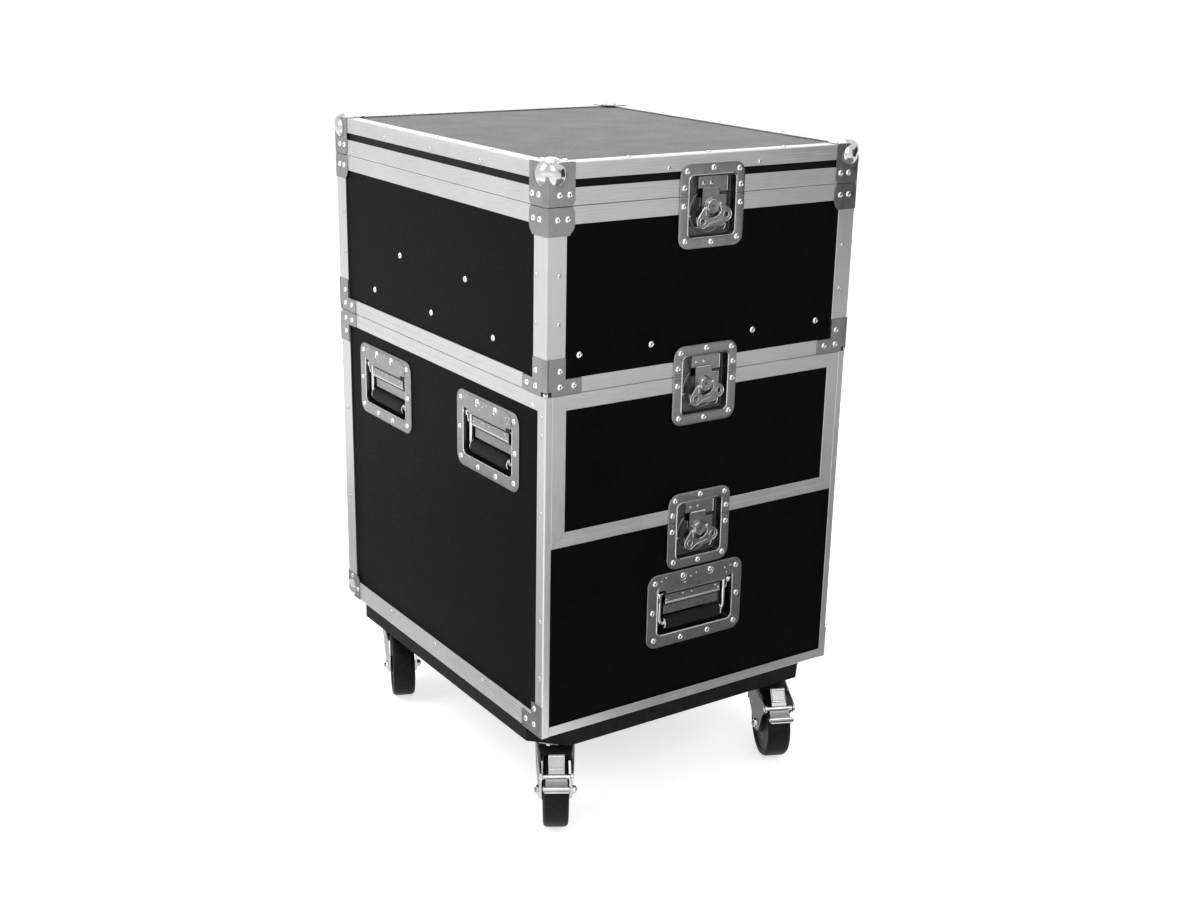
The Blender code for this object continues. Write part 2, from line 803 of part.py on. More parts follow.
def section_skin(low, high, name, finish, windows):
    """Aluminium frame of one section: a thin box with flanged ends and a window in each side."""
    frame = place(name, box((-HALF_X, -HALF_Y, low), (HALF_X, HALF_Y, high)), finish)
    inner_x = HALF_X - SKIN
    inner_y = HALF_Y - SKIN
    core = tool(name + "_core", box((-inner_x, -inner_y, low + SKIN), (inner_x, inner_y, high - SKIN)))
    mouth_x = HALF_X - FLANGE
    mouth_y = HALF_Y - FLANGE
    mouth = tool(name + "_mouth", box((-mouth_x, -mouth_y, low - 0.01), (mouth_x, mouth_y, high + 0.01)))
    sight = tool(name + "_windows", boxes(windows))
    for helper in (core, mouth, sight):
        boolean(frame, helper)
    return frame


def window_front(low_x, high_x, low_z, high_z, sign=-1):
    """Window through the front or rear skin."""
    face = sign * HALF_Y
    return ((low_x, min(face - 0.01, face + 0.01), low_z), (high_x, max(face - 0.01, face + 0.01), high_z))


def window_side(low_y, high_y, low_z, high_z, sign):
    """Window through a side skin."""
    face = sign * HALF_X
    return ((face - 0.01, low_y, low_z), (face + 0.01, high_y, high_z))


def build_lid(finishes, cutters, hinge):
    """Lid: panel shell, closing profile, edge frame with ball corners, and its hinge leaf."""
    edge_x = HALF_X - INSET
    edge_y = HALF_Y - INSET
    low = LID_Z + INSET
    block = box((-edge_x, -edge_y, low), (edge_x, edge_y, TOP_Z - INSET))
    shell = place("lid_shell", block, finishes["laminate"])
    hollow_x = edge_x - PLY
    hollow_y = edge_y - PLY
    hollow = tool(
        "lid_hollow", box((-hollow_x, -hollow_y, low - 0.01), (hollow_x, hollow_y, TOP_Z - INSET - PLY))
    )
    boolean(shell, hollow)
    boolean(shell, cutters["lid"])

    closing_ring = ring(closing_profile(LID_Z, LID_CLOSING_LEG, 1))
    closing = place("lid_closing_frame", closing_ring, finishes["aluminium"])
    boolean(closing, cutters["lid"])

    top = TOP_Z
    edge_low = TOP_Z - LID_EDGE_LEG
    edge_profile = [
        (0.0, edge_low),
        (0.0, top),
        (LID_EDGE_LEG, top),
        (LID_EDGE_LEG, top - SKIN),
        (SKIN, top - SKIN),
        (SKIN, edge_low),
    ]
    edge = place("lid_edge_frame", ring(edge_profile), finishes["aluminium"])
    everywhere = ((-1, -1), (1, -1), (1, 1), (-1, 1))
    blocks = []
    for sign_x, sign_y in everywhere:
        far = (sign_x * (HALF_X + PLATE), sign_y * (HALF_Y + PLATE))
        near = (sign_x * (HALF_X - CORNER_LEG), sign_y * (HALF_Y - CORNER_LEG))
        block_low = (min(far[0], near[0]), min(far[1], near[1]), LID_Z + GAP)
        block_high = (max(far[0], near[0]), max(far[1], near[1]), TOP_Z + PLATE)
        blocks.append((block_low, block_high))
    corner_blocks = tool("lid_corner_blocks", boxes(blocks))
    corner_balls = tool("lid_corner_balls", balls(TOP_Z - BALL_INSET, everywhere))
    back = SKIN + GAP / 2
    core = tool(
        "lid_edge_core",
        box((back - HALF_X, back - HALF_Y, LID_Z - 0.01), (HALF_X - back, HALF_Y - back, TOP_Z - back)),
    )
    over = HALF_X + GAP
    over_y = HALF_Y + GAP
    closing_top = LID_Z + LID_CLOSING_LEG + GAP
    clearance_block = box((-over, -over_y, LID_Z - 0.01), (over, over_y, closing_top))
    clearance = tool("lid_closing_clearance", clearance_block)
    boolean(edge, corner_blocks, "UNION")
    boolean(edge, corner_balls, "UNION")
    boolean(edge, core)
    boolean(edge, clearance)
    boolean(edge, cutters["lid"])
    place("lid_hinge_leaf", hinge["lid"], finishes["zinc"], location=(0, HALF_Y + hinge["offset"], LID_Z))


def hinge_meshes():
    """Both leaves of the lid hinge about the hinge line, with interleaved knuckles."""
    radius = HINGE_KNUCKLE_RADIUS
    offset = GAP + radius
    half = HINGE_LENGTH / 2
    pitch = HINGE_LENGTH / HINGE_KNUCKLES
    meshes = {"offset": offset}
    for name, sign, first in (("lid", 1, 1), ("box", -1, 0)):
        start = radius + HINGE_PLAY
        leaf_low = min(sign * start, sign * HINGE_LEAF)
        leaf_high = max(sign * start, sign * HINGE_LEAF)
        leaf = box((-half, -radius, leaf_low), (half, -radius + PLATE, leaf_high))
        solids = []
        for k in range(first, HINGE_KNUCKLES, 2):
            low = -half + k * pitch + HINGE_PLAY / 2
            high = low + pitch - HINGE_PLAY
            outline = arc(0, 0, radius, 180, 180 + sign * 300, 10)
            outline += [(-radius + PLATE, sign * (start + 0.001)), (-radius, sign * (start + 0.001))]
            solids.append(prism(outline, low, high, "YZ"))
        if name == "lid":
            bore = rod(HINGE_PIN_RADIUS + 0.0003, -half - 0.01, half + 0.01, 8)
            meshes[name] = carved(fused(leaf, *solids), bore)
        else:
            pin = rod(HINGE_PIN_RADIUS, -half + 0.002, half - 0.002, 8)
            meshes[name] = fused(leaf, *solids, pin)
    return meshes


def build_upper_box(finishes, cutters, hinge):
    """Upper box: panel walls, raised floor, aluminium frame with corner braces, and its hinge leaf."""
    top = LID_Z - GAP
    wall_profile = [
        (INSET, MID_Z + INSET),
        (INSET, top - INSET),
        (INNER, top - INSET),
        (INNER, MID_Z + INSET),
    ]
    shell = place("upper_box_shell", ring(wall_profile), finishes["laminate"])
    for key in ("lid", "stack_front", "stack_rear"):
        boolean(shell, cutters[key])

    floor_x = HALF_X - INNER - GAP
    floor_y = HALF_Y - INNER - GAP
    floor_low = MID_Z + UPPER_FLOOR_RISE
    place(
        "upper_box_floor",
        box((-floor_x, -floor_y, floor_low), (floor_x, floor_y, floor_low + PLY)),
        finishes["laminate"],
    )

    low_z = MID_Z + MID_CLOSING_LEG
    high_z = top - LID_CLOSING_LEG
    side_x = HALF_X - ANGLE_LEG
    side_y = HALF_Y - ANGLE_LEG
    windows = [
        window_front(-side_x, side_x, low_z, high_z, -1),
        window_front(-side_x, side_x, low_z, high_z, 1),
        window_side(-side_y, side_y, low_z, high_z, -1),
        window_side(-side_y, side_y, low_z, high_z, 1),
    ]
    frame = section_skin(MID_Z, top, "upper_box_frame", finishes["aluminium"], windows)
    half_skin = SKIN / 2
    lid_braces = tool("lid_seam_braces", corner_boxes(CORNER_LEG, top - LID_BRACE_DROP, top - GAP, half_skin))
    arm_blocks = corner_boxes(BRACE_REACH, MID_Z + GAP, MID_Z + MID_CLOSING_LEG, half_skin)
    arms = tool("stack_brace_arms", arm_blocks)
    posts = tool(
        "stack_brace_posts",
        corner_boxes(ANGLE_LEG, MID_Z + 2 * GAP, MID_Z + BRACE_RISE, half_skin, PLATE + GAP / 10),
    )
    for helper in (lid_braces, arms, posts):
        boolean(frame, helper, "UNION")
    for key in ("lid", "stack_front", "stack_rear"):
        boolean(frame, cutters[key])
    place("box_hinge_leaf", hinge["box"], finishes["zinc"], location=(0, HALF_Y + hinge["offset"], LID_Z))


def build_base(finishes, cutters):
    """Base: cabinet, fixed front panel, aluminium frame with its corners, and the caster board."""
    top = MID_Z - GAP
    edge_x = HALF_X - INSET
    edge_y = HALF_Y - INSET
    low = BASE_Z + INSET
    high = top - INSET
    inner_x = edge_x - PLY
    shelf_low = BASE_Z + SHELF_RISE
    shelf_high = shelf_low + PLY
    block = box((-edge_x, -edge_y, low), (edge_x, edge_y, high))
    cabinet = place("base_cabinet", block, finishes["laminate"])
    bay_back = edge_y - PLY
    bay = tool("drawer_bay", box((-inner_x, -edge_y - 0.01, low + PLY), (inner_x, bay_back, shelf_low)))
    hold = tool("upper_hold", box((-inner_x, -edge_y - 0.01, shelf_high), (inner_x, bay_back, high + 0.01)))
    boolean(cabinet, bay)
    boolean(cabinet, hold)
    for key in ("drawer", "stack_rear", "side_handles"):
        boolean(cabinet, cutters[key])

    panel = place(
        "base_front_panel",
        box((GAP - inner_x, -edge_y, shelf_high + GAP), (inner_x - GAP, -edge_y + PLY, high)),
        finishes["laminate"],
    )
    boolean(panel, cutters["stack_front"])
    boolean(panel, cutters["drawer"])

    side_high = top - MID_CLOSING_LEG
    side_low = BASE_Z + BASE_BOTTOM_LEG
    bay_x = HALF_X - BASE_FRONT_LEG
    panel_x = bay_x - PANEL_FRAME_LEG
    rear_x = HALF_X - ANGLE_LEG
    windows = [
        window_front(-bay_x, bay_x, BASE_Z + SILL_LEG, STRIP_Z, -1),
        window_front(-panel_x, panel_x, STRIP_Z + STRIP_LEG, side_high, -1),
        window_front(-rear_x, rear_x, side_low, side_high, 1),
        window_side(BASE_SIDE_LEG - HALF_Y, HALF_Y - ANGLE_LEG, side_low, side_high, -1),
        window_side(BASE_SIDE_LEG - HALF_Y, HALF_Y - ANGLE_LEG, side_low, side_high, 1),
    ]
    frame = section_skin(BASE_Z, top, "base_frame", finishes["aluminium"], windows)
    rear = ((1, 1), (-1, 1))
    half_skin = SKIN / 2
    arm_low = top - MID_CLOSING_LEG
    arms = tool("rear_brace_arms", corner_boxes(BRACE_REACH, arm_low, top - GAP, half_skin, corners=rear))
    posts = tool(
        "rear_brace_posts",
        corner_boxes(ANGLE_LEG, top - BRACE_RISE, top - 2 * GAP, half_skin, PLATE + GAP / 10, corners=rear),
    )
    boolean(frame, arms, "UNION")
    boolean(frame, posts, "UNION")

    foot_blocks = []
    for sign_x, sign_y in rear:
        far = (sign_x * (HALF_X + PLATE), sign_y * (HALF_Y + PLATE))
        near = (sign_x * (HALF_X - CORNER_LEG), sign_y * (HALF_Y - CORNER_LEG))
        outline_low = (min(far[0], near[0]), min(far[1], near[1]), BASE_Z + GAP)
        outline_high = (max(far[0], near[0]), max(far[1], near[1]), BASE_Z + CORNER_LEG)
        foot_blocks.append((outline_low, outline_high))
    blocks = tool("foot_corner_blocks", boxes(foot_blocks))
    foot_balls = tool("foot_corner_balls", balls(BASE_Z + BALL_INSET, rear))
    back = SKIN + GAP / 2
    foot_core = tool(
        "foot_corner_core",
        box((back - HALF_X, back - HALF_Y, BASE_Z + back), (HALF_X - back, HALF_Y - back, BASE_Z + 2 * CORNER_LEG)),
    )
    boolean(frame, blocks, "UNION")
    boolean(frame, foot_balls, "UNION")
    boolean(frame, foot_core)
    front = GAP - HALF_Y
    foot_low = BASE_Z + GAP
    outline = [
        (front, foot_low),
        (front + FOOT_BRACE_REACH, foot_low),
        (front + FOOT_BRACE_REACH, BASE_Z + FOOT_BRACE_LEG),
        (front + FOOT_BRACE_LEG, BASE_Z + FOOT_BRACE_LEG),
        (front + FOOT_BRACE_LEG, BASE_Z + FOOT_BRACE_RISE),
        (front, BASE_Z + FOOT_BRACE_RISE),
    ]
    for name, sign in (("foot_brace_left", -1), ("foot_brace_right", 1)):
        outer = sign * (HALF_X + PLATE)
        inner = sign * (HALF_X - half_skin)
        brace = prism(outline, min(outer, inner), max(outer, inner), "YZ")
        boolean(frame, tool(name, brace), "UNION")
    for key in ("drawer", "stack_front", "stack_rear"):
        boolean(frame, cutters[key])

    outline = cut_rectangle(HALF_X - BOARD_INSET, HALF_Y - BOARD_INSET, BOARD_CORNER_CUT)
    place("caster_board", prism(outline, CASTER_HEIGHT, BASE_Z - GAP, "XY"), finishes["board"])

    slide_z = BASE_Z + INSET + PLY + TRAY_FLOOR_PLAY + SLIDE_RISE
    slide = slide_mesh()
    for name, sign in (("slide_left", -1), ("slide_right", 1)):
        spot = (sign * (inner_x - GAP), slide_front_y(), slide_z)
        place(name, slide if sign < 0 else mirrored_x(slide), finishes["zinc"], location=spot)


def mirrored_x(mesh):
    """Copy of a mesh mirrored in X, with its faces turned back outwards."""
    made = mesh.copy()
    made.transform(Matrix.Diagonal((-1.0, 1.0, 1.0, 1.0)))
    made.flip_normals()
    return made


def slide_front_y():
    """Front end of the drawer slides."""
    return -HALF_Y + INSET + FRONT_PLY + GAP


def slide_mesh():
    """Left slide channel: web on the cabinet wall, two flanges and turned lips."""
    depth = SLIDE_WIDTH
    half = SLIDE_HEIGHT / 2
    sheet = SLIDE_SHEET
    lip = 0.007
    outline = [
        (0.0, -half),
        (depth, -half),
        (depth, -half + lip),
        (depth - sheet, -half + lip),
        (depth - sheet, -half + sheet),
        (sheet, -half + sheet),
        (sheet, half - sheet),
        (depth - sheet, half - sheet),
        (depth - sheet, half - lip),
        (depth, half - lip),
        (depth, half),
        (0.0, half),
    ]
    return prism(outline, 0.0, TRAY_LENGTH, "XZ")


def build_drawer(finishes, cutters):
    """Drawer: front board with its latch and handle openings, and the tray on its slide rails."""
    front_x = HALF_X - BASE_FRONT_LEG - DRAWER_PLAY
    face = -HALF_Y + INSET
    board = place(
        "drawer_front",
        box((-front_x, face, BASE_Z + SILL_LEG + DRAWER_PLAY), (front_x, face + FRONT_PLY, DRAWER_TOP_Z)),
        finishes["laminate"],
    )
    boolean(board, cutters["drawer"])
    boolean(board, cutters["drawer_handle"])

    inner_x = HALF_X - INSET - PLY
    tray_x = inner_x - SLIDE_WIDTH - GAP - SLIDE_PLAY
    tray_low = BASE_Z + INSET + PLY + TRAY_FLOOR_PLAY
    start = face + FRONT_PLY + GAP
    end = start + TRAY_LENGTH
    tray_block = box((-tray_x, start, tray_low), (tray_x, end, tray_low + TRAY_HEIGHT))
    tray = place("drawer_tray", tray_block, finishes["laminate"])
    hollow = tool(
        "tray_hollow",
        box(
            (TRAY_PLY - tray_x, start - 0.01, tray_low + TRAY_PLY),
            (tray_x - TRAY_PLY, end - TRAY_PLY, tray_low + TRAY_HEIGHT + 0.01),
        ),
    )
    boolean(tray, hollow)
    rail_half = SLIDE_HEIGHT / 2 - 0.007 - SLIDE_PLAY
    rail_z = tray_low + SLIDE_RISE
    rails = []
    for sign in (-1, 1):
        outer = sign * (tray_x + SLIDE_PLAY + SLIDE_WIDTH - SLIDE_SHEET - SLIDE_PLAY)
        inner = sign * (tray_x - 0.001)
        low_x = min(outer, inner)
        high_x = max(outer, inner)
        rails.append(((low_x, start + 0.001, rail_z - rail_half), (high_x, end - 0.001, rail_z + rail_half)))
    boolean(tray, tool("tray_rails", boxes(rails)), "UNION")


def latch_cutter():
    """Opening for a latch dish through skin and panel."""
    low_x, high_x, low_z, high_z = latch_rectangle(PLATE + GAP)
    return box((low_x, -0.01, low_z), (high_x, LATCH_RECESS + PLATE + 0.003, high_z))


def handle_cutter(depth=0.016):
    """Opening for a handle dish through a panel."""
    low_x, high_x, low_z, high_z = handle_rectangle(PLATE + GAP)
    return box((low_x, -0.01, low_z), (high_x, depth, high_z))


def moved(mesh, location, turn):
    """Mesh turned about Z and moved to its place on the case."""
    made = mesh.copy()
    made.transform(Matrix.Translation(location) @ Matrix.Rotation(turn, 4, "Z"))
    return made


LATCHES = (
    ("lid_latch", (0.0, -HALF_Y, LID_Z), 0.0),
    ("stack_latch_front", (0.0, -HALF_Y, MID_Z), 0.0),
    ("stack_latch_rear", (0.0, HALF_Y, MID_Z), math.pi),
    ("drawer_latch", (0.0, -HALF_Y, STRIP_Z), 0.0),
)

HANDLES = (
    ("left_front_handle", (-HALF_X + INSET, -SIDE_HANDLE_Y, MID_Z - SIDE_HANDLE_DROP), -math.pi / 2),
    ("left_rear_handle", (-HALF_X + INSET, SIDE_HANDLE_Y, MID_Z - SIDE_HANDLE_DROP), -math.pi / 2),
    ("right_front_handle", (HALF_X - INSET, -SIDE_HANDLE_Y, MID_Z - SIDE_HANDLE_DROP), math.pi / 2),
    ("right_rear_handle", (HALF_X - INSET, SIDE_HANDLE_Y, MID_Z - SIDE_HANDLE_DROP), math.pi / 2),
    ("drawer_handle", (0.0, -HALF_Y + INSET, BASE_Z + DRAWER_HANDLE_RISE), 0.0),
)


def build_latches(finishes):
    """Four butterfly latches, each a parted dish, hook, spindle and folding wing."""
    keeper = keeper_dish_mesh()
    cam = cam_dish_mesh()
    hook = hook_mesh()
    spindle = spindle_mesh()
    wing = wing_mesh()
    for name, location, turn in LATCHES:
        seat = empty(name, location, turn)
        place(name + "_keeper_dish", keeper, finishes["zinc"], seat)
        place(name + "_cam_dish", cam, finishes["zinc"], seat)
        place(name + "_hook", hook, finishes["zinc"], seat)
        shaft = empty(name + "_shaft", (0, 0, -SPINDLE_DROP), parent=seat)
        shaft.rotation_euler = (0, -WING_TURN, 0)
        place(name + "_spindle", spindle, finishes["zinc"], shaft)
        place(name + "_wing", wing, finishes["zinc"], shaft, (0, -WING_AXIS_PROUD, 0))


def build_handles(finishes):
    """Five recessed handles, each a dish and a sprung bail."""
    dish_form = handle_dish_mesh()
    bail = bail_mesh()
    for name, location, turn in HANDLES:
        seat = empty(name, location, turn)
        place(name + "_dish", dish_form, finishes["zinc"], seat)
        place(name + "_bail", bail, finishes["rubber"], seat, (0, BAIL_AXIS_DEPTH, BAIL_AXIS_RISE))


def build_casters(finishes):
    """Four swivel casters; the front pair is braked."""
    plate = caster_plate_mesh()
    forks = {True: fork_mesh(True), False: fork_mesh(False)}
    wheel = wheel_mesh()
    pedal = pedal_mesh()
    for name, sign_x, sign_y, turn, braked in CASTERS:
        foot = (sign_x * (HALF_X - CASTER_INSET), sign_y * (HALF_Y - CASTER_INSET), 0.0)
        seat = empty(name + "_caster", foot)
        place(name + "_caster_plate", plate, finishes["zinc"], seat)
        swivel = empty(name + "_swivel", (0, 0, 0), turn, seat)
        place(name + "_caster_fork", forks[braked], finishes["zinc"], swivel)
        place(name + "_caster_wheel", wheel, finishes["tyre"], swivel, (0, -CASTER_TRAIL, WHEEL_RADIUS))
        if braked:
            place(
                name + "_brake_pedal",
                pedal,
                finishes["zinc"],
                swivel,
                (0, -PEDAL_PIVOT_BACK, PEDAL_PIVOT_RISE),
            )


def case_cutters():
    """Hidden tools for the latch and handle openings."""
    latch = latch_cutter()
    handle = handle_cutter()
    places = {name: (location, turn) for name, location, turn in LATCHES + HANDLES}
    cutters = {}
    for key, name in (
        ("lid", "lid_latch"),
        ("stack_front", "stack_latch_front"),
        ("stack_rear", "stack_latch_rear"),
        ("drawer", "drawer_latch"),
    ):
        cutters[key] = tool(name + "_opening", moved(latch, *places[name]))
    cutters["drawer_handle"] = tool("drawer_handle_opening", moved(handle, *places["drawer_handle"]))
    bm = bmesh.new()
    for name in ("left_front_handle", "left_rear_handle", "right_front_handle", "right_rear_handle"):
        bm.from_mesh(moved(handle, *places[name]))
    cutters["side_handles"] = tool("side_handle_openings", mesh_from(bm))
    return cutters


def main():
    for item in list(bpy.data.objects):
        bpy.data.objects.remove(item)
    case = bpy.data.objects.new("case", None)
    bpy.context.scene.collection.objects.link(case)
    case.location = (0, CENTRE_SHIFT, 0)
    finishes = {
        "laminate": material("black_laminate", (0.012, 0.012, 0.013), 0.55, 0.0),
        "aluminium": material("brushed_aluminium", (0.62, 0.62, 0.63), 0.38, 1.0),
        "zinc": material("zinc_steel", (0.52, 0.53, 0.54), 0.28, 1.0),
        "rubber": material("black_rubber", (0.02, 0.02, 0.02), 0.7, 0.0),
        "tyre": material("black_tyre", (0.015, 0.015, 0.015), 0.6, 0.0),
        "board": material("black_board", (0.014, 0.014, 0.014), 0.65, 0.0),
    }
    cutters = case_cutters()
    hinge = hinge_meshes()
    build_lid(finishes, cutters, hinge)
    build_upper_box(finishes, cutters, hinge)
    build_base(finishes, cutters)
    build_drawer(finishes, cutters)
    build_latches(finishes)
    build_handles(finishes)
    build_casters(finishes)


main()
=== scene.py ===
import math

import bmesh
import bpy
from mathutils import Matrix, Vector
from mathutils.geometry import tessellate_polygon


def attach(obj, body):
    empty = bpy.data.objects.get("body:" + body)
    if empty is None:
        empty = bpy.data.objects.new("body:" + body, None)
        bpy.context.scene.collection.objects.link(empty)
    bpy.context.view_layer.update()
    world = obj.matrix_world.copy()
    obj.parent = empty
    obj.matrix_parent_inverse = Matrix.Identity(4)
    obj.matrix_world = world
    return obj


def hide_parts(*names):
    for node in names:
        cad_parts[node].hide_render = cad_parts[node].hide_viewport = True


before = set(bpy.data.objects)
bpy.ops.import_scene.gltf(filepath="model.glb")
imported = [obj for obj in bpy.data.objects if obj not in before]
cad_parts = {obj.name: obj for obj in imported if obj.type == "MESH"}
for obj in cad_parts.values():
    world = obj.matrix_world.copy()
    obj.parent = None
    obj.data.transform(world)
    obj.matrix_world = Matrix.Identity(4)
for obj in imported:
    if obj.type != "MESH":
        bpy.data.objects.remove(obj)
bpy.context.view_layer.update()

# Main sizes of the case, in metres, in the CAD's frame

SHIFT = 0.014888
HALF_X = 0.260
HALF_Y = 0.3075
BASE_Z = 0.157
MID_Z = 0.649
LID_Z = 0.895
TOP_Z = 0.950
STRIP_Z = BASE_Z + 0.2792
GAP = 0.0003
SKIN = 0.0017
LIP = 0.010
FLANGE = 0.013
EDGE_LEG = 0.0215
CLOSING_LEG = 0.0232
STACK_LEG = 0.0214
UPRIGHT_LEG = 0.0305
SIDE_LEG = 0.0185
FRONT_LEG = 0.0115
FOOT_LEG = 0.0315


# Materials

def feed(tree, made, inputs):
    """Fills a node's inputs: a socket is linked, anything else is the value."""
    for key, value in inputs.items():
        if isinstance(value, bpy.types.NodeSocket):
            tree.links.new(value, made.inputs[key])
        else:
            made.inputs[key].default_value = value


def node(tree, kind, inputs, **values):
    made = tree.nodes.new(kind)
    for key, value in values.items():
        setattr(made, key, value)
    feed(tree, made, inputs)
    return made


def calculate(tree, operation, *values):
    return node(tree, "ShaderNodeMath", dict(enumerate(values)), operation=operation).outputs[0]


def new_material(name):
    made = bpy.data.materials.new(name)
    made.use_nodes = True
    tree = made.node_tree
    return made, tree, tree.nodes["Principled BSDF"]


def coordinates(tree, scale=(1, 1, 1)):
    """Object coordinates stretched by a scale for each axis."""
    vector = node(tree, "ShaderNodeTexCoord", {}).outputs["Object"]
    return node(tree, "ShaderNodeMapping", {"Scale": scale, "Vector": vector}).outputs["Vector"]


def noise(tree, vector, scale, detail=4.0, roughness=0.55):
    inputs = {"Scale": scale, "Detail": detail, "Roughness": roughness, "Vector": vector}
    return node(tree, "ShaderNodeTexNoise", inputs).outputs["Fac"]


def coat(tree, shader, value, colours, span, rough, grain, strength, depth):
    """Colour and roughness that follow one value, and relief that follows the grain."""
    ramp = node(tree, "ShaderNodeValToRGB", {"Fac": value})
    for element, position, colour in zip(ramp.color_ramp.elements, span, colours):
        element.position = position
        element.color = (*colour, 1)
    spread = {"Value": value, "From Min": 0.3, "From Max": 0.7, "To Min": rough[0], "To Max": rough[1]}
    relief = {"Strength": strength, "Distance": depth, "Height": grain}
    feed(tree, shader, {
        "Base Color": ramp.outputs["Color"],
        "Roughness": node(tree, "ShaderNodeMapRange", spread).outputs["Result"],
        "Normal": node(tree, "ShaderNodeBump", relief).outputs["Normal"],
    })


def metal(name, dark, light, rough, stretch, scale=3.0, depth=0.0001):
    """Metal with fine drawn or rolled streaks along the axes that the stretch leaves coarse."""
    made, tree, shader = new_material(name)
    shader.inputs["Metallic"].default_value = 1.0
    grain = noise(tree, coordinates(tree, stretch), scale)
    cloud = noise(tree, coordinates(tree), 14, 3)
    mixed = calculate(tree, "MULTIPLY_ADD", grain, 0.65, calculate(tree, "MULTIPLY", cloud, 0.35))
    coat(tree, shader, mixed, (dark, light), (0.3, 0.7), rough, grain, 0.35, depth)
    return made


def laminate(name, specular):
    """Black laminate with a fine pebbled grain and a faint mottle."""
    made, tree, shader = new_material(name)
    shader.inputs["Specular IOR Level"].default_value = specular
    vector = coordinates(tree)
    cells = {"Scale": 620, "Smoothness": 0.6, "Vector": vector}
    pebble = node(tree, "ShaderNodeTexVoronoi", cells, feature="SMOOTH_F1").outputs["Distance"]
    mottle = noise(tree, vector, 330, 5, 0.7)
    wide = noise(tree, vector, 18, 3, 0.5)
    both = calculate(tree, "MULTIPLY_ADD", mottle, 0.75, calculate(tree, "MULTIPLY", wide, 0.25))
    grain = calculate(tree, "ADD", pebble, mottle)
    colours = ((0.0005, 0.0005, 0.0005), (0.0036, 0.0036, 0.0038))
    coat(tree, shader, both, colours, (0.38, 0.62), (0.34, 0.50), grain, 0.6, 0.0006)
    return made


def rubber(name, base, light, rough, scale, depth):
    """Rubber, plastic or paint with a fine even grain."""
    made, tree, shader = new_material(name)
    shader.inputs["Specular IOR Level"].default_value = 0.10
    grain = noise(tree, coordinates(tree), scale, 5, 0.6)
    colours = ((base, base, base), (light, light, light))
    coat(tree, shader, grain, colours, (0.3, 0.7), (rough - 0.06, rough + 0.06), grain, 0.4, depth)
    return made


ALUMINIUM = ((0.52, 0.52, 0.53), (0.64, 0.64, 0.65), (0.34, 0.46))
# Darker, rougher copy of the aluminium for the upward faces of the lid's edge profile: painted shade on the
# top.
TOP_ALUMINIUM_PAINTED_SHADE = ((0.33, 0.33, 0.34), (0.42, 0.42, 0.43), (0.42, 0.54))
ALONG = (14, 14, 700)
UPWARDS = (700, 700, 14)
ROLLED = 0.00012

MATERIALS = {
    "profile": metal("profile_aluminium", *ALUMINIUM, ALONG, depth=ROLLED),
    "upright": metal("upright_aluminium", *ALUMINIUM, UPWARDS, depth=ROLLED),
    "zinc": metal("zinc_plate", (0.235, 0.235, 0.24), (0.31, 0.31, 0.315), (0.26, 0.36), (30, 30, 30)),
    # Darker copy of the zinc: painted shade in the walls and floors of pans and on the caster fork's legs.
    "shade": metal("painted_shade_zinc", (0.085, 0.085, 0.088), (0.15, 0.15, 0.153), (0.26, 0.38), (30, 30, 30)),
    # Painted shade on the top of the lid's edge profile.
    "shaded_top": metal("top_aluminium_painted_shade", *TOP_ALUMINIUM_PAINTED_SHADE, ALONG, depth=ROLLED),
    # Lighter, glossier copy of the zinc: bright hardware, and painted highlights on rims, edges and the ball
    # corners.
    "bright": metal("bright_zinc_and_painted_highlight", (0.52, 0.52, 0.53), (0.65, 0.65, 0.66), (0.12, 0.22), (50, 50, 50)),
    "rivet": metal("rivet_nickel", (0.78, 0.78, 0.79), (0.89, 0.89, 0.89), (0.14, 0.26), (90, 90, 90), 4.0),
    # Near-black: rivet mandrels, and painted shade in holes, slots, gaps and slits.
    "dark_shade": metal("dark_metal_and_painted_shade", (0.02, 0.02, 0.02), (0.06, 0.06, 0.06), (0.45, 0.60), (200, 200, 200)),
    "laminate": laminate("black_laminate", 0.03),
    # Copy of the same laminate with more specular for the lid: a painted sheen on the top.
    "lid_top_sheen": laminate("lid_laminate_painted_sheen", 0.09),
    "rubber": rubber("grip_rubber", 0.006, 0.018, 0.55, 300, 0.0003),
    "tyre": rubber("tyre_rubber", 0.005, 0.014, 0.48, 160, 0.0004),
    # Black: the wheel hubs, and painted shade on the caster fork's crown, boss, web and rear wall.
    "black_and_shade": rubber("black_plastic_and_painted_shade", 0.008, 0.02, 0.40, 220, 0.0002),
    "board": rubber("painted_board", 0.004, 0.012, 0.55, 90, 0.0006),
}


# Mesh building

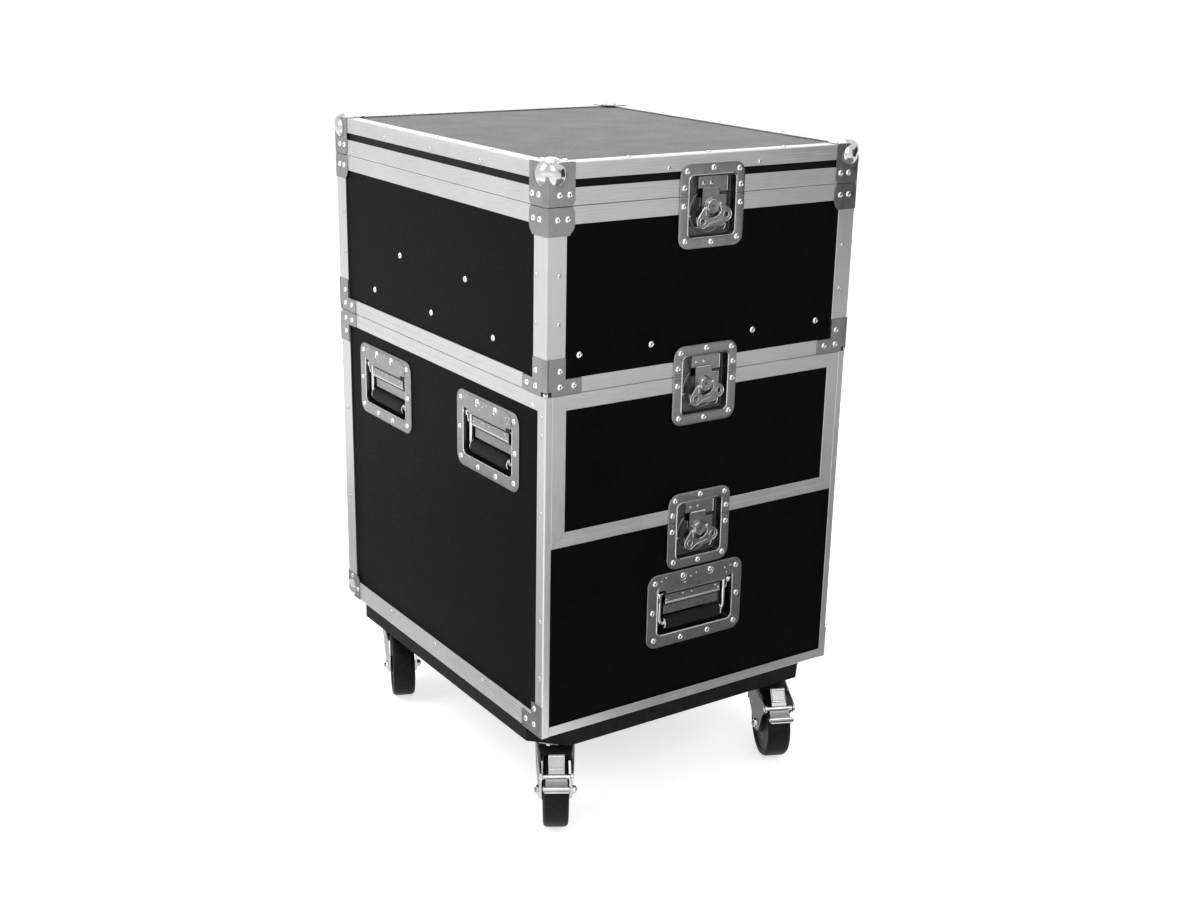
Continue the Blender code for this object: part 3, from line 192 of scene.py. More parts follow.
class Build:
    """Gathers the geometry of one object, with a material for each piece."""

    def __init__(self, name):
        self.name = name
        self.bm = bmesh.new()
        self.slots = []

    def slot(self, key):
        if key not in self.slots:
            self.slots.append(key)
        return self.slots.index(key)

    def add(self, shape, key, matrix=None, rule=None):
        """Adds a shape; a rule may name another material from a face's own centre and normal."""
        verts, faces = shape
        matrix = matrix or Matrix()
        made = [self.bm.verts.new(matrix @ Vector(v)) for v in verts]
        index = self.slot(key)
        new = []
        for face in faces:
            try:
                face = self.bm.faces.new([made[k] for k in face])
            except ValueError:
                continue
            face.material_index = index
            new.append(face)
        bmesh.ops.recalc_face_normals(self.bm, faces=new)
        if rule:
            back = matrix.inverted()
            turn = back.to_3x3()
            for face in new:
                face.normal_update()
                other = rule(back @ face.calc_center_median(), turn @ face.normal)
                if other:
                    face.material_index = self.slot(other)

    def finish(self, body, replaced=(), angle=32):
        mesh = bpy.data.meshes.new(self.name)
        self.bm.to_mesh(mesh)
        self.bm.free()
        for key in self.slots:
            mesh.materials.append(MATERIALS[key])
        mesh.shade_smooth()
        mesh.set_sharp_from_angle(angle=math.radians(angle))
        made = bpy.data.objects.new(self.name, mesh)
        bpy.context.scene.collection.objects.link(made)
        weighted = made.modifiers.new("flat_faces", "WEIGHTED_NORMAL")
        weighted.keep_sharp = True
        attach(made, body)
        if replaced:
            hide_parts(*replaced)


def loft(loops, closed=False):
    """Skin through loops of equal length."""
    verts = [point for loop in loops for point in loop]
    count = len(loops[0])
    faces = []
    pairs = list(zip(range(len(loops)), range(1, len(loops))))
    if closed:
        pairs.append((len(loops) - 1, 0))
    for low, high in pairs:
        for k in range(count):
            after = (k + 1) % count
            faces.append((low * count + k, low * count + after, high * count + after, high * count + k))
    if not closed:
        faces.append(tuple(range(count)))
        faces.append(tuple(range((len(loops) - 1) * count, len(loops) * count)))
    return verts, faces


def mm(points):
    """Points written in millimetres."""
    return [tuple(value / 1000 for value in point) for point in points]


def arc(centre, radius, start, end, steps):
    points = []
    for k in range(steps + 1):
        angle = math.radians(start + (end - start) * k / steps)
        points.append((centre[0] + radius * math.cos(angle), centre[1] + radius * math.sin(angle)))
    return points


def ring(centre, radius, steps):
    return arc(centre, radius, 0, 360, steps)[:-1]


def rounded(low_a, high_a, low_b, high_b, radius, steps):
    outline = []
    low_a, high_a, low_b, high_b = low_a + radius, high_a - radius, low_b + radius, high_b - radius
    for k, centre in enumerate(((high_a, high_b), (low_a, high_b), (low_a, low_b), (high_a, low_b))):
        outline += arc(centre, radius, 90 * k, 90 * k + 90, steps)
    return outline


def shrink(outline, distance):
    """Outline moved inwards by a distance, for an anticlockwise outline."""
    moved = []
    count = len(outline)
    for k in range(count):
        before = Vector(outline[k - 1])
        here = Vector(outline[k])
        after = Vector(outline[(k + 1) % count])
        first = (here - before).normalized()
        second = (after - here).normalized()
        normal = Vector((-first.y - second.y, first.x + second.x))
        if normal.length < 1e-9:
            normal = Vector((-first.y, first.x))
        normal.normalize()
        cosine = max(0.4, normal.dot(Vector((-first.y, first.x))))
        moved.append(tuple(here + normal * (distance / cosine)))
    return moved


def plate(outline, back, front, edge=0.0004):
    """Flat plate in the XZ plane, with its front edge eased; Y runs into the case."""
    area = sum(a[0] * b[1] - b[0] * a[1] for a, b in zip(outline, outline[1:] + outline[:1]))
    if area < 0:
        outline = outline[::-1]
    inner = shrink(outline, edge)
    middle = shrink(outline, edge * 0.3)
    rows = ((outline, back), (outline, front + edge), (middle, front + edge * 0.3), (inner, front))
    return loft([[(x, depth, z) for x, z in row] for row, depth in rows])


def revolve(profile, sides):
    """Turned shape about Y from (radius, depth) points; a zero radius closes it."""
    verts = []
    rows = []
    for radius, depth in profile:
        if radius < 1e-7:
            rows.append([len(verts)])
            verts.append((0, depth, 0))
            continue
        row = []
        for k in range(sides):
            angle = 2 * math.pi * k / sides
            row.append(len(verts))
            verts.append((radius * math.cos(angle), depth, radius * math.sin(angle)))
        rows.append(row)
    faces = []
    for first, second in zip(rows, rows[1:]):
        for k in range(sides):
            after = (k + 1) % sides
            if len(first) == 1:
                faces.append((first[0], second[k], second[after]))
            elif len(second) == 1:
                faces.append((first[k], first[after], second[0]))
            else:
                faces.append((first[k], first[after], second[after], second[k]))
    return verts, faces


def tube(points, radius, sides):
    """Round bar along a path."""
    points = [Vector(p) for p in points]
    loops = []
    normal = None
    for k, point in enumerate(points):
        ahead = points[min(k + 1, len(points) - 1)] - points[max(k - 1, 0)]
        ahead.normalize()
        if normal is None:
            normal = ahead.orthogonal().normalized()
        normal = (normal - ahead * normal.dot(ahead)).normalized()
        side = ahead.cross(normal)
        loop = []
        for j in range(sides):
            angle = 2 * math.pi * j / sides
            out = normal * (radius * math.cos(angle)) + side * (radius * math.sin(angle))
            loop.append(tuple(point + out))
        loops.append(loop)
    return loft(loops)


def shift(x, y, z):
    return Matrix.Translation((x, y, z))


def turned(angle, axis):
    return Matrix.Rotation(math.radians(angle), 4, axis)


def face_matrix(side):
    """Frame on a face of the case: X to the right, Y into the case, Z up."""
    angle, x, y = {
        "front": (0, 0, SHIFT - HALF_Y),
        "rear": (180, 0, SHIFT + HALF_Y),
        "left": (-90, -HALF_X, SHIFT),
        "right": (90, HALF_X, SHIFT),
    }[side]
    return shift(x, y, 0) @ turned(angle, "Z")


def leg_matrix(frame_matrix, sign):
    """Plate frame for a shape in the YZ plane of a frame, seen from its right (1) or its left (-1)."""
    return frame_matrix @ turned(sign * 90, "Z")


TOP_FACE = shift(0, SHIFT, TOP_Z) @ turned(-90, "X")
UPRIGHT_AXIS = turned(90, "X")
SIDES = ("front", "rear", "left", "right")
CORNERS = ((-1, -1), (1, -1), (-1, 1), (1, 1))
HALF_WIDTH = {"front": HALF_X, "rear": HALF_X, "left": HALF_Y, "right": HALF_Y}

RIVET_HEIGHT = 0.0017
PROFILE_RIVET = 0.0032


def rivets(build, matrix, spots, radius=0.0043, depth=0.0, key="rivet"):
    """Domed pop rivets with open centres; depth is how far their seats lie inside the face."""
    hole = radius * 0.29
    head = [(radius, 0.0002)]
    for width, rise in ((1, 0.25), (0.94, 0.55), (0.78, 0.85), (0.55, 1), (0.37, 0.97)):
        head.append((radius * width, -RIVET_HEIGHT * rise))
    head += [(hole, -RIVET_HEIGHT * 0.82), (hole * 0.95, -RIVET_HEIGHT * 0.3), (hole * 0.9, -0.00005)]
    for x, z in spots:
        spot = matrix @ shift(x, depth, z)
        build.add(revolve(head, 16), key, spot)
        # Near-black disc in the open centre: the mandrel, with painted shade in the hole.
        build.add(revolve([(0, -0.0003), (radius * 0.28, -0.0002)], 10), "dark_shade", spot)


GROOVE_DEPTH = 0.0003
GROOVE_WIDTH = 0.0011


def grooved_leg(length, grooves):
    """Points along one outer leg from its corner to its far edge, with shallow ribs."""
    points = []
    for middle in grooves:
        at = middle * length
        for share, depth in ((-0.5, 0.0), (-0.22, GROOVE_DEPTH), (0.22, GROOVE_DEPTH), (0.5, 0.0)):
            points.append((at + GROOVE_WIDTH * share, depth))
    points += [(length - 0.0004, 0.0), (length, 0.0004)]
    return points


def angle_section(leg_a, leg_b, grooves, corner, lip=False):
    """Section of an angle profile: a runs along one face, b along the other, from the outer corner."""
    points = grooved_leg(leg_a, grooves)[::-1]
    for k in range(5):
        angle = math.radians(90 * k / 4)
        points.append((corner - corner * math.sin(angle), corner - corner * math.cos(angle)))
    points += [(b, a) for a, b in grooved_leg(leg_b, ())]
    if lip:
        points += [(LIP, leg_b), (LIP, leg_b - SKIN)]
    points += [(SKIN, leg_b - SKIN if lip else leg_b), (SKIN, SKIN), (leg_a, SKIN)]
    return points


def flat_section(width, grooves=()):
    """Section of a flat strip: a across the strip, b into the case."""
    return [(0, SKIN), (0, 0.0004), (0.0004, 0)] + grooved_leg(width, grooves) + [(width, SKIN)]


def extrude(section, origin, across, inward, along, length, start=(0, 0), end=(0, 0)):
    """Section carried along an edge; start and end give the cut's slope for each section axis."""
    origin, across, inward, along = (Vector(v) for v in (origin, across, inward, along))
    loops = []
    for base, slope, sign in ((0.0, start, 1), (length, end, -1)):
        loop = []
        for a, b in section:
            t = base + sign * (slope[0] * a + slope[1] * b)
            loop.append(tuple(origin + across * a + inward * b + along * t))
        loops.append(loop)
    return loft(loops)


LATCH_HALF = 0.041


def bar(build, side, section, level, direction, half, start, end, parted=False):
    """Bar along one face, rising or hanging from a level, parted where a latch sits."""
    spans = [(-half, -LATCH_HALF), (LATCH_HALF, half)] if parted else [(-half, half)]
    for low, high in spans:
        first = start if low == -half else (0, 0)
        last = end if high == half else (0, 0)
        origin = (low, 0, level)
        shape = extrude(section, origin, (0, 0, direction), (0, 1, 0), (1, 0, 0), high - low, first, last)
        build.add(shape, "profile", face_matrix(side))


def horizontal(build, level, direction, section, parted):
    """Ring of four mitred bars round the case."""
    for side in SIDES:
        bar(build, side, section, level, direction, HALF_WIDTH[side], (0, 1), (0, 1), side in parted)


def corner_frame(sign_x, sign_y):
    """Axes at a vertical corner: along the front or rear face, and along the side face."""
    origin = (sign_x * HALF_X, SHIFT + sign_y * HALF_Y)
    return origin, (-sign_x, 0, 0), (0, -sign_y, 0)


# Profiles and corner plates

BRACE = 0.0012
RIBS = (0.16, 0.34, 0.52, 0.70, 0.88)
FAINT = (0.5,)
CLOSING = angle_section(CLOSING_LEG, FLANGE, RIBS, 0.0012, lip=True)
STACKING = angle_section(STACK_LEG, FLANGE, FAINT, 0.0012, lip=True)
UPRIGHT = angle_section(UPRIGHT_LEG, UPRIGHT_LEG, (), 0.0022)

# Plates, each with its rivets: distance from the corner, then from a joint of the case
LID_BRACE = (
    mm([(3.6, 0.3), (33.4, 0.3)] + arc((33.4, 8.3), 8, 270, 360, 5)[1:]
       + [(41.4, 55.8), (28.8, 55.8), (28.8, 27), (3.6, 27)]),
    mm([(18, 14.8), (33, 14.8)]),
)
CLOSING_BRACE = (
    mm([(3.6, 37.2), (33.4, 37.2), (39.5, 30.2), (41.4, 25.2), (41.4, 8.6), (38.5, 0.6), (3.6, 0.6)]),
    mm([(15.5, 16), (30.6, 16)]),
)
STACK_BRACE = (
    mm([(9, 0.3), (54.8, 0.3), (56, 1.5), (56, 20.8), (55.4, 21.4), (30.5, 21.4), (30.5, 49.4), (29.9, 50),
        (3, 50), (3, 6.6), (9, 6.6)]),
    mm([(22, 12), (43.5, 12), (22, 33)]),
)
FOOT_BRACE = (
    mm([(28.8, 0.3), (41.4, 0.3), (41.4, 33.4)] + arc((33.4, 33.4), 8, 0, 90, 5)[1:]
       + [(3.6, 41.4), (3.6, 27.8), (28.8, 27.8)]),
    mm([(18, 36.5), (36.5, 18)]),
)
FRONT_BRACE = (
    mm([(0.4, 0.3), (50, 0.3), (52, 2.3), (52, 26.2), (51.2, 27), (27, 27), (27, 46.4), (25.4, 48),
        (0.4, 48)]),
    mm([(18.6, 39.5), (40.5, 15.5), (19, 15.5)]),
)
LID_TOP_BRACE = (
    mm([(28.8, 1), (37.4, 1), (41.4, 5), (41.4, 21.5), (21.5, 41.4), (5, 41.4), (1, 37.4), (1, 28.8),
        (28.8, 28.8)]),
    mm([(34.7, 14.2), (14.2, 34.7)]),
)
NOTCH = mm([(-0.2, -0.2), (9, -0.2), (9, 0.3), (0.3, 0.3), (0.3, 9), (-0.2, 9)])
NOTCH_TAB = mm([(-0.6, -0.6), (4, -0.6), (2, 4), (-0.6, 4.2)])

# Rivets in the profiles, from the middle of each face
EDGE_RIVETS = {
    "front": (-0.0727, 0.0798),
    "rear": (-0.125, 0.0, 0.125),
    "left": (-0.141, 0.0, 0.140),
    "right": (-0.140, 0.0, 0.141),
}
HINGE_RIVETS = (-0.18, -0.108, -0.036, 0.036, 0.108, 0.18)
SIDE_RIVETS = mm([(300, 464), (300, 439), (300, 331), (300, 175), (300, 90), (-291.8, 178), (-291.8, 330),
                  (-149, 23), (-2, 23), (143, 23)])
TOP_ROW = HALF_Y - 0.011
TOP_SIDE_ROW = HALF_X - 0.011


def corner_places(sign_x, sign_y):
    """The two faces at a corner, each with which of its edges lies there: -1 is left, 1 is right."""
    edge = sign_x * sign_y
    return ("front" if sign_y < 0 else "rear", -edge), ("left" if sign_x < 0 else "right", edge)


def brace_plate(build, place, brace, level, up=1, radius=0.0044):
    """Pressed plate on a face beside a corner, rising or hanging from a level, with its rivets."""
    side, edge = place
    half = HALF_WIDTH[side]
    outline, spots = ([(edge * (half - x), level + up * z) for x, z in points] for points in brace)
    build.add(plate(outline, 0.0004, -BRACE), "zinc", face_matrix(side))
    rivets(build, face_matrix(side), spots, radius, -BRACE)


def corner_bar(build, corner, section, low, high, key, end=(0, 0)):
    """Section carried up a vertical corner."""
    origin, across, inward = corner_frame(*corner)
    build.add(extrude(section, (*origin, low), across, inward, (0, 0, 1), high - low, (0, 0), end), key)


def arris(build, corner, low, high):
    """Rolled edge of a bent corner plate along the vertical corner."""
    leg = 0.004
    radius = 0.0016
    section = [(leg, -BRACE), (radius, -BRACE)]
    for k in range(5):
        angle = math.radians(90 * k / 4)
        outer = radius + BRACE
        section.append((radius - outer * math.sin(angle), radius - outer * math.cos(angle)))
    section += [(-BRACE, leg), (0.0004, leg), (0.0004, 0.0004), (leg, 0.0004)]
    corner_bar(build, corner, section, low, high, "zinc")


BALL = 0.02096
BALL_INSET = 0.015
BALL_REACH = 0.030
BALL_EDGE = 0.0022
BALL_STEPS = 30


def smooth_step(value, low, high):
    share = min(1.0, max(0.0, (value - low) / (high - low)))
    return share * share * (3 - 2 * share)


def ball_point(u, v, face):
    """Point on one face of the corner skin, and True where the skin has become the ball."""
    point = Vector((u, v, face))
    core = Vector([min(value, face - BALL_EDGE) for value in point])
    out = point - core
    if out.length > 1e-9:
        point = core + out.normalized() * BALL_EDGE
    length = point.length
    unit = point / length
    swell = 5.196 * unit.x * unit.y * unit.z if min(unit) > 0 else 0.0
    radius = BALL + 0.0023 * swell
    if length < radius:
        return unit * radius, True
    weight = smooth_step(min(u, v), -0.006, 0.003) * smooth_step(max(u, v), 0.004, 0.011)
    return unit * (length + weight * (radius - length)), weight > 0.55


def ball_corner(build, sign_x, sign_y, level, up):
    """Ball corner drawn in one skin with three legs: up is +1 on the lid, -1 at the foot."""
    inset = BALL_INSET
    centre = Vector((sign_x * (HALF_X - inset), SHIFT + sign_y * (HALF_Y - inset), level - up * inset))
    axes = (Vector((sign_x, 0, 0)), Vector((0, sign_y, 0)), Vector((0, 0, up)))
    face = BALL_INSET + BRACE
    line = [face - BALL_REACH * i / BALL_STEPS for i in range(BALL_STEPS + 1)]
    row = len(line)
    for k in range(3):
        normal, first, second = axes[k], axes[(k + 1) % 3], axes[(k + 2) % 3]
        skin = [ball_point(u, v, face) for u in line for v in line]
        verts = [centre + first * p.x + second * p.y + normal * (p.z + 0.00003) for p, _ in skin]
        groups = {"bright": [], "zinc": []}
        for i in range(BALL_STEPS):
            for j in range(BALL_STEPS):
                low = i * row + j
                quad = (low, low + 1, low + row + 1, low + row)
                # The ball's faces take the bright zinc and the legs the plain zinc: a painted highlight on
                # one pressed sheet.
                groups["bright" if sum(skin[q][1] for q in quad) > 1 else "zinc"].append(quad)
        for key, quads in groups.items():
            build.add((verts, quads), key)
        turn = Matrix((first, second, normal)).transposed().to_4x4()
        bead = [(a, b, face + 0.0001) for a, b in arc((0, 0), 0.0160, 165, 285, 16)]
        build.add(tube(bead, 0.0006, 6), "zinc", Matrix.Translation(centre) @ turn)


def material_swap():
    """Better materials for the CAD nodes that stay."""
    boards = "upper_box_shell upper_box_floor base_cabinet base_front_panel drawer_front drawer_tray"
    for key, names in (
        ("laminate", boards),
        # The lid's shell takes the laminate copy with the painted sheen.
        ("lid_top_sheen", "lid_shell"),
        ("board", "caster_board"),
        ("zinc", "slide_left slide_right lid_hinge_leaf box_hinge_leaf"),
    ):
        for name in names.split():
            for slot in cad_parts[name].material_slots:
                slot.material = MATERIALS[key]


def build_lid_frames():
    """Edge profile, ball corners and closing profile of the lid."""
    build = Build("lid_edge_profile")
    section = angle_section(EDGE_LEG, EDGE_LEG, RIBS[1:], 0.0018)
    for side in SIDES:
        face = face_matrix(side)
        half = HALF_WIDTH[side] - 0.017
        shape = extrude(section, (-half, 0, TOP_Z), (0, 0, -1), (0, 1, 0), (1, 0, 0), 2 * half)
        # Its upward faces take the darker aluminium: painted shade on the top.
        build.add(shape, "profile", face, top_leg)
        rivets(build, face, [(x, LID_Z + 0.039) for x in EDGE_RIVETS[side]], 0.0034, 0.0, "bright")
    for corner in CORNERS:
        ball_corner(build, *corner, TOP_Z, 1)
        for place in corner_places(*corner):
            brace_plate(build, place, LID_BRACE, LID_Z)
        arris(build, corner, LID_Z + GAP, TOP_Z - 0.0284)
        outline, spots = (
            [(corner[0] * (HALF_X + BRACE - a), corner[1] * (HALF_Y + BRACE - b)) for a, b in points]
            for points in LID_TOP_BRACE
        )
        build.add(plate(outline, 0.0003, -BRACE), "zinc", TOP_FACE)
        rivets(build, TOP_FACE, spots, 0.0040, -BRACE)
    rivets(build, face_matrix("rear"), [(x, LID_Z + 0.0125) for x in HINGE_RIVETS], 0.0028, -0.0015)
    for sign in (-1, 1):
        spots = [(x, sign * TOP_ROW) for x in (-0.13, 0, 0.13)]
        spots += [(sign * TOP_SIDE_ROW, y) for y in (-0.15, 0, 0.15)]
        rivets(build, TOP_FACE, spots, PROFILE_RIVET, 0.0, "bright")
    build.finish("lid", ("lid_edge_frame",))

    build = Build("lid_closing_profile")
    horizontal(build, LID_Z, 1, CLOSING, ("front",))
    build.finish("lid", ("lid_closing_frame",))


def build_upper_frame():
    build = Build("upper_box_profiles")
    horizontal(build, LID_Z - GAP, -1, CLOSING, ("front",))
    horizontal(build, MID_Z, 1, STACKING, ("front", "rear"))
    rivets(build, face_matrix("rear"), [(x, LID_Z - 0.0125) for x in HINGE_RIVETS], 0.0028, -0.0015)
    for corner in CORNERS:
        corner_bar(build, corner, UPRIGHT, MID_Z + STACK_LEG, LID_Z - GAP - CLOSING_LEG, "upright")
        for place in corner_places(*corner):
            brace_plate(build, place, CLOSING_BRACE, LID_Z, -1)
            brace_plate(build, place, STACK_BRACE, MID_Z)
            side, edge = place
            x = edge * (HALF_WIDTH[side] - (0.024 if side in ("left", "right") else 0.0195))
            rivets(build, face_matrix(side), [(x, MID_Z + 0.158), (x, MID_Z + 0.095)], 0.0033, 0.0, "bright")
        arris(build, corner, LID_Z - 0.0372, LID_Z - 2 * GAP)
        arris(build, corner, MID_Z + 0.0066, MID_Z + 0.050)
        # Near-black bar in the corner notch: painted shade.
        corner_bar(build, corner, NOTCH, MID_Z + 0.0004, MID_Z + 0.0066, "dark_shade")
        corner_bar(build, corner, NOTCH_TAB, MID_Z + 0.0004, MID_Z + 0.0050, "bright")
    build.finish("upper_box", ("upper_box_frame",))


def build_base_frame():
    build = Build("base_profiles")
    top = MID_Z - GAP
    reach = HALF_X - FRONT_LEG
    joint = (SIDE_LEG / STACK_LEG, 0)
    bar(build, "front", STACKING, top, -1, reach, (1, 0), (1, 0), True)
    bar(build, "rear", STACKING, top, -1, HALF_X, (0, 1), (0, 1), True)
    bar(build, "left", STACKING, top, -1, HALF_Y, (0, 1), joint)
    bar(build, "right", STACKING, top, -1, HALF_Y, joint, (0, 1))
    foot = angle_section(FOOT_LEG, FLANGE, (0.18, 0.36, 0.54, 0.72, 0.9), 0.0014)
    for side in ("left", "right", "rear"):
        bar(build, side, foot, BASE_Z, 1, HALF_WIDTH[side], (0, 1), (0, 1))
    sill = angle_section(0.0145, FLANGE, FAINT, 0.0014)
    bar(build, "front", sill, BASE_Z, 1, reach, (0, 0), (0, 0))
    bar(build, "front", flat_section(0.0208, FAINT), STRIP_Z, 1, reach, (1.03, 0), (1.03, 0), True)
    front_post = angle_section(FRONT_LEG, SIDE_LEG, (), 0.0022)
    for sign, side in ((-1, "left"), (1, "right")):
        axes = ((sign * reach, 0, STRIP_Z), (-sign, 0, 0), (0, 1, 0), (0, 0, 1))
        shape = extrude(flat_section(STACK_LEG), *axes, top - STRIP_Z, (1, 0), (1, 0))
        build.add(shape, "upright", face_matrix("front"))
        corner_bar(build, (sign, -1), front_post, BASE_Z, top, "upright", (0, 1.15))
        corner_bar(build, (sign, 1), UPRIGHT, BASE_Z + FOOT_LEG, top - STACK_LEG, "upright")
        for place in corner_places(sign, 1):
            brace_plate(build, place, STACK_BRACE, top, -1)
            brace_plate(build, place, FOOT_BRACE, BASE_Z, 1, 0.0038)
        arris(build, (sign, 1), top - 0.050, top - 0.0066)
        arris(build, (sign, 1), BASE_Z + 0.0284, BASE_Z + 0.0414)
        ball_corner(build, sign, 1, BASE_Z, -1)
        brace_plate(build, (side, -sign), FRONT_BRACE, BASE_Z, 1, 0.0042)
        matrix = face_matrix(side)
        rivets(build, matrix, [(-sign * x, BASE_Z + z) for x, z in SIDE_RIVETS], PROFILE_RIVET, 0.0, "bright")
        rivets(build, matrix, [(-sign * (HALF_Y - 0.0306), BASE_Z + 0.476)], PROFILE_RIVET)
    build.finish("base", ("base_frame",))


def build_panel_rivets():
    """Rivets through the upper box's walls, which hold its raised floor and rails."""
    build = Build("upper_box_rivets")
    for side, low, high in (
        ("front", (-0.207, -0.0915, 0.083, 0.1995), ()),
        ("rear", (-0.1995, -0.083, 0.0915, 0.207), ()),
        ("left", (-0.186, -0.005, 0.171), (-0.100, 0.095)),
        ("right", (-0.171, 0.005, 0.186), (-0.095, 0.100)),
    ):
        spots = [(x, MID_Z + 0.051) for x in low] + [(x, MID_Z + 0.118) for x in high]
        rivets(build, face_matrix(side), spots, 0.0046, 0.002)
    build.finish("upper_box", ())


# Pressed and turned shapes of the hardware

PLATE = 0.0012
DISH_CORNER = 0.016
PAN_CORNER = 0.007
FLANGE_Y = -0.0016
COVER_Y = -0.0024


def rectangle(bounds, grow, radius, depth, steps=5):
    """Rounded rectangle at a depth, grown all round."""
    low_x, high_x, low_z, high_z = bounds
    outline = rounded(low_x - grow, high_x + grow, low_z - grow, high_z + grow, radius + grow, steps)
    return [(x, depth, z) for x, z in outline]


def pressed_dish(outer, pan, recess):
    """Dish pressed in one sheet: flange with a rolled edge and a bead round the sunk pan."""
    back = recess + PLATE
    rows = (
        (pan, PLATE - 0.0015, back),
        (pan, PLATE, back - 0.0015),
        (pan, PLATE, -GAP),
        (outer, 0.0, -GAP),
        (outer, 0.0, -0.0009),
        (outer, -0.0003, -0.0013),
        (outer, -0.0010, -0.0015),
        (outer, -0.0030, -0.00165),
        (pan, 0.0034, -0.00165),
        (pan, 0.0027, -0.0014),
        (pan, 0.0021, -0.0014),
        (pan, 0.0014, -0.00175),
        (pan, 0.0005, -0.0013),
        (pan, 0.0, -0.0003),
        (pan, 0.0, recess - 0.0022),
        (pan, -0.0007, recess - 0.0006),
        (pan, -0.0022, recess),
    )
    loops = []
    for bounds, grow, depth in rows:
        radius = DISH_CORNER if bounds is outer else PAN_CORNER
        loops.append(rectangle(bounds, grow, radius, depth))
    return loft(loops)


def halved(shape, height, above):
    """The part of a shape above or below a level, closed at the cut."""
    verts, faces = shape
    bm = bmesh.new()
    made = [bm.verts.new(v) for v in verts]
    for face in faces:
        bm.faces.new([made[k] for k in face])
    everything = bm.verts[:] + bm.edges[:] + bm.faces[:]
    level = {"plane_co": (0, 0, height), "plane_no": (0, 0, 1)}
    cut = bmesh.ops.bisect_plane(bm, geom=everything, clear_inner=above, clear_outer=not above, **level)
    edges = [item for item in cut["geom_cut"] if isinstance(item, bmesh.types.BMEdge)]
    bmesh.ops.holes_fill(bm, edges=edges)
    bm.verts.index_update()
    result = [tuple(v.co) for v in bm.verts], [tuple(v.index for v in face.verts) for face in bm.faces]
    bm.free()
    return result


def pierced(outline, holes, back, front):
    """Flat plate in the XZ plane with holes through it."""
    loops = [outline] + list(holes)
    points = [point for loop in loops for point in loop]
    count = len(points)
    triangles = tessellate_polygon([[Vector((x, z, 0)) for x, z in loop] for loop in loops])
    verts = [(x, front, z) for x, z in points] + [(x, back, z) for x, z in points]
    faces = [tuple(t) for t in triangles] + [tuple(k + count for k in t) for t in triangles]
    start = 0
    for loop in loops:
        size = len(loop)
        for k in range(size):
            one = start + k
            two = start + (k + 1) % size
            faces.append((one, two, two + count, one + count))
        start += size
    return verts, faces


def hoop(outline, depth, radius, sides=8):
    """Round bead laid along a closed outline in the XZ plane."""
    loops = []
    count = len(outline)
    for k, (x, z) in enumerate(outline):
        before = Vector(outline[k - 1])
        after = Vector(outline[(k + 1) % count])
        ahead = (after - before).normalized()
        loop = []
        for j in range(sides):
            angle = 2 * math.pi * j / sides
            across = radius * math.cos(angle)
            loop.append((x + ahead.y * across, depth + radius * math.sin(angle), z - ahead.x * across))
        loops.append(loop)
    return loft(loops, closed=True)


def domes(build, matrix, spots, depth, radius, height):
    """Low bright domes on a face."""
    shares = ((1, -0.3), (0.8, -0.75), (0.4, -1), (0, -1))
    profile = [(radius, 0.0002)] + [(radius * width, height * rise) for width, rise in shares]
    for x, z in spots:
        build.add(revolve(profile, 16), "bright", matrix @ shift(x, depth, z))


def both_ends(half, middle=()):
    """Turned profile from its first half, mirrored."""
    return half + list(middle) + [(radius, -depth) for radius, depth in reversed(half)]


def about_x(profile, sides):
    """Turned shape about X from (radius, place) points."""
    verts, faces = revolve(profile, sides)
    return [(b, a, c) for a, b, c in verts], faces


def along_x(radius, low, high, sides=12, end=0.0006):
    """Round bar along X with eased ends."""
    profile = [(0, low), (radius - end, low), (radius, low + end), (radius, high - end), (radius - end, high)]
    return about_x(profile + [(0, high)], sides)


def pan_rim(bounds):
    """Bright bead along the rolled rim of a pan: a painted highlight."""
    return hoop([(x, z) for x, _, z in rectangle(bounds, 0.0006, PAN_CORNER, 0, 6)], -0.0011, 0.0009)


# Rules that give some faces of a shape another material

def sunk(centre, normal):
    """The walls and floor of a pan, in the darker zinc: painted shade."""
    return "shade" if centre.y > 0.0006 else None


def knob_neck(centre, normal):
    # The knob's neck behind its face goes near-black: painted shade.
    return "dark_shade" if centre.y > -0.0038 else None


def cheek_edge(centre, normal):
    # Thin edge faces go bright: a painted highlight.
    return "bright" if abs(normal.y) < 0.6 else None


def top_leg(centre, normal):
    # Upward faces take the darker aluminium: painted shade on the top.
    return "shaded_top" if normal.z > 0.9 else None


# Recessed butterfly latches

LATCHES = (
    ("lid_latch", "front", LID_Z, "lid", "upper_box"),
    ("stack_latch_front", "front", MID_Z, "upper_box", "base"),
    ("stack_latch_rear", "rear", MID_Z, "upper_box", "base"),
    ("drawer_latch", "front", STRIP_Z, "base", "drawer"),
)
LATCH_OUTER = (-0.0545, 0.0545, -0.071, 0.042)
LATCH_PAN = (-0.0393, 0.0393, -0.0558, 0.0268)
SPINDLE_Z = -0.015
EAR_X = 0.020
EAR_Z = -0.0166
WING_Y = -0.0029
KEEPER_RIVETS = mm([(-43.8, 33), (43.8, 33), (0, 36.2), (-47.5, 11.4), (47.5, 11.4)])
CAM_RIVETS = mm([(-47.5, -13), (47.5, -13), (-43.8, -59.6), (43.8, -59.6), (0, -63)])
KEEPER_OUTLINE = mm([(-20.2, 8.1), (16.5, 8.1), (16.5, 3.0), (29.0, 3.0), (29.0, 23.0), (27.5, 24.5),
                     (-18.7, 24.5), (-20.2, 23.0)])
BRACKET_OUTLINE = mm([(-21, -44), (28.2, -44), (28.2, -2.0), (15.5, -2.0), (15.5, -4.5), (-16, -4.5),
                      (-16, -12), (-21, -22)])
